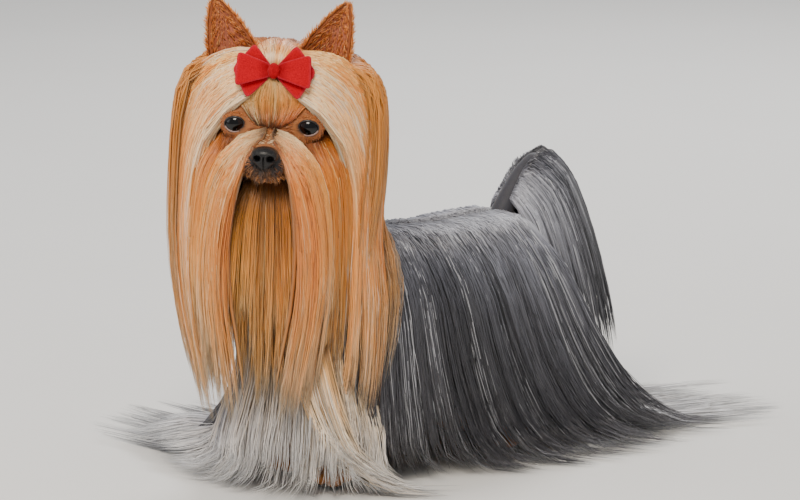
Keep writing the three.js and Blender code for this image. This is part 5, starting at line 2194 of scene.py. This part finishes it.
@dataclass
class Claws:
    """Sixteen dark claws, one on each toe, set by a Geometry Nodes tree."""

    place: DogFrame
    length: float = 4.2
    thick: float = 1.1

    def tree(self, material: Material) -> NodeTree:
        """Build the tree that puts a curved horn on every point.

        Args:
            material: The horn.

        Returns:
            The node group.
        """
        group = bpy.data.node_groups.new("claws on toes", "GeometryNodeTree")
        face = group.interface
        face.new_socket("Toes", in_out="INPUT", socket_type="NodeSocketGeometry")
        face.new_socket(
            "Length", in_out="INPUT", socket_type="NodeSocketFloat"
        ).default_value = self.length * MM
        face.new_socket(
            "Thickness", in_out="INPUT", socket_type="NodeSocketFloat"
        ).default_value = self.thick * MM
        face.new_socket("Claws", in_out="OUTPUT", socket_type="NodeSocketGeometry")
        inputs = node(group, "NodeGroupInput")
        horn = node(
            group, "GeometryNodeMeshCone",
            {
                "Vertices": 10, "Side Segments": 5, "Radius Top": 0.00012,
                "Radius Bottom": inputs.outputs["Thickness"], "Depth": inputs.outputs["Length"],
            },
        )
        seat = node(group, "GeometryNodeInputPosition")
        parts = node(group, "ShaderNodeSeparateXYZ", {0: seat.outputs[0]})
        ratio = node(
            group, "ShaderNodeMath", {0: parts.outputs["Z"], 1: inputs.outputs["Length"]}, operation="DIVIDE"
        )
        square = node(group, "ShaderNodeMath", {0: ratio.outputs[0], 1: 2.0}, operation="POWER")
        drop = node(group, "ShaderNodeMath", {0: square.outputs[0], 1: -0.0014}, operation="MULTIPLY")
        offset = node(group, "ShaderNodeCombineXYZ", {"X": drop.outputs[0]})
        bent = node(
            group, "GeometryNodeSetPosition", {"Geometry": horn.outputs["Mesh"], "Offset": offset.outputs[0]}
        )
        points = node(
            group, "GeometryNodeInstanceOnPoints",
            {
                "Points": inputs.outputs["Toes"], "Instance": bent.outputs[0],
                "Rotation": (math.radians(104), 0, 0),
            },
        )
        real = node(group, "GeometryNodeRealizeInstances", {"Geometry": points.outputs[0]})
        dressed = node(group, "GeometryNodeSetMaterial", {"Geometry": real.outputs[0], "Material": material})
        node(group, "NodeGroupOutput", {"Claws": dressed.outputs[0]})
        return group

    def build(self) -> None:
        """Set the claws on the toes."""
        toes = []
        for s in (-1, 1):
            for x, y in (FORE_PAW, HIND_PAW):
                toes += [(s * x + k * TOE_GAP, y - 16.5 + abs(k) * TOE_ARCH, 4.6) for k in TOES]
        mesh = bpy.data.meshes.new("claws")
        mesh.from_pydata([tuple(p) for p in self.place.metres(np.array(toes, float))], [], [])
        horn = claw_material()
        obj = add_object(mesh, None)
        modifier = obj.modifiers.new("claws", "NODES")
        modifier.node_group = self.tree(horn)
        for item in modifier.node_group.interface.items_tree:
            if item.in_out == "INPUT" and item.name in ("Length", "Thickness"):
                modifier[item.identifier] = (self.length if item.name == "Length" else self.thick) * MM
        made = settle(obj)
        made.name = "claws"
        made.polygons.foreach_set("use_smooth", np.ones(len(made.polygons), bool))
        obj.name = "claws"
        finish_piece(obj)


@dataclass
class Studio:
    """A pale floor, soft lights and the camera at the photograph's angle."""

    place: DogFrame
    azimuth: float = 50.0
    elevation: float = 12.0
    distance: float = 1900.0
    pixels_per_mm: float = 1.68
    sensor: float = 36
    picture_width: int = 800
    aim: Triple = (0, -3, 128)

    def camera(self) -> None:
        """Set the camera."""
        turn, lift = math.radians(self.azimuth), math.radians(self.elevation)
        back = np.array([math.sin(turn) * math.cos(lift), -math.cos(turn) * math.cos(lift), math.sin(lift)])
        data = bpy.data.cameras.new("camera")
        data.sensor_width = self.sensor
        data.lens = self.pixels_per_mm * self.distance * self.sensor / self.picture_width
        data.clip_start, data.clip_end = 0.05, 60
        obj = bpy.data.objects.new("camera", data)
        bpy.context.scene.collection.objects.link(obj)
        target = self.place.metres(np.array(self.aim, float))
        obj.location = Vector(target + back * self.distance * MM)
        obj.rotation_euler = Vector(-back).to_track_quat("-Z", "Y").to_euler()
        bpy.context.scene.camera = obj

    def light(self, name: str, spot: Triple, size: float, power: float, tint: str) -> None:
        """Add one soft square light that looks at the dog.

        Args:
            name: The light's name.
            spot: Its place in metres.
            size: Its side in metres.
            power: Watts.
            tint: Its colour.
        """
        data = bpy.data.lights.new(name, "AREA")
        data.size = size
        data.energy = power
        data.color = linear(tint)[:3]
        obj = bpy.data.objects.new(name, data)
        obj.location = spot
        obj.rotation_euler = (Vector((0, 0, 0.13)) - Vector(spot)).to_track_quat("-Z", "Y").to_euler()
        bpy.context.scene.collection.objects.link(obj)

    def build(self) -> None:
        """Lay the floor, set the lights and the camera."""
        self.camera()
        half, low = 30.0, -0.0004
        corners = np.array([[-half, -half, low], [half, -half, low], [half, half, low], [-half, half, low]])
        floor = add_object(mesh_from("studio_floor", corners, np.array([[0, 1, 2, 3]])), floor_material())
        self.light("key", (0.9, -1.2, 1.7), 0.8, 42, "#FFF4E4")
        self.light("fill", (-0.9, -1.5, 0.9), 1.2, 8, "#F4F6FF")
        self.light("rim", (-0.7, 1.4, 1.7), 0.8, 34, "#FFFFFF")
        world = bpy.data.worlds.new("soft sky")
        world.use_nodes = True
        world.node_tree.nodes["Background"].inputs["Color"].default_value = linear("#F1F2F4")
        world.node_tree.nodes["Background"].inputs["Strength"].default_value = 0.55
        bpy.context.scene.world = world


def main() -> None:
    """Build the dog piece by piece."""
    logging.basicConfig(level=logging.INFO, format="%(message)s")
    place = DogFrame()
    Studio(place).build()
    skin = Skin(place)
    skin.build()
    Eyes(place).build()
    NoseLeather(place).build()
    ears = Ears(place)
    ears.build()
    Bow(place).build()
    Coat(place, ears, skin).build()
    Claws(place).build()


if __name__ == "__main__":
    main()
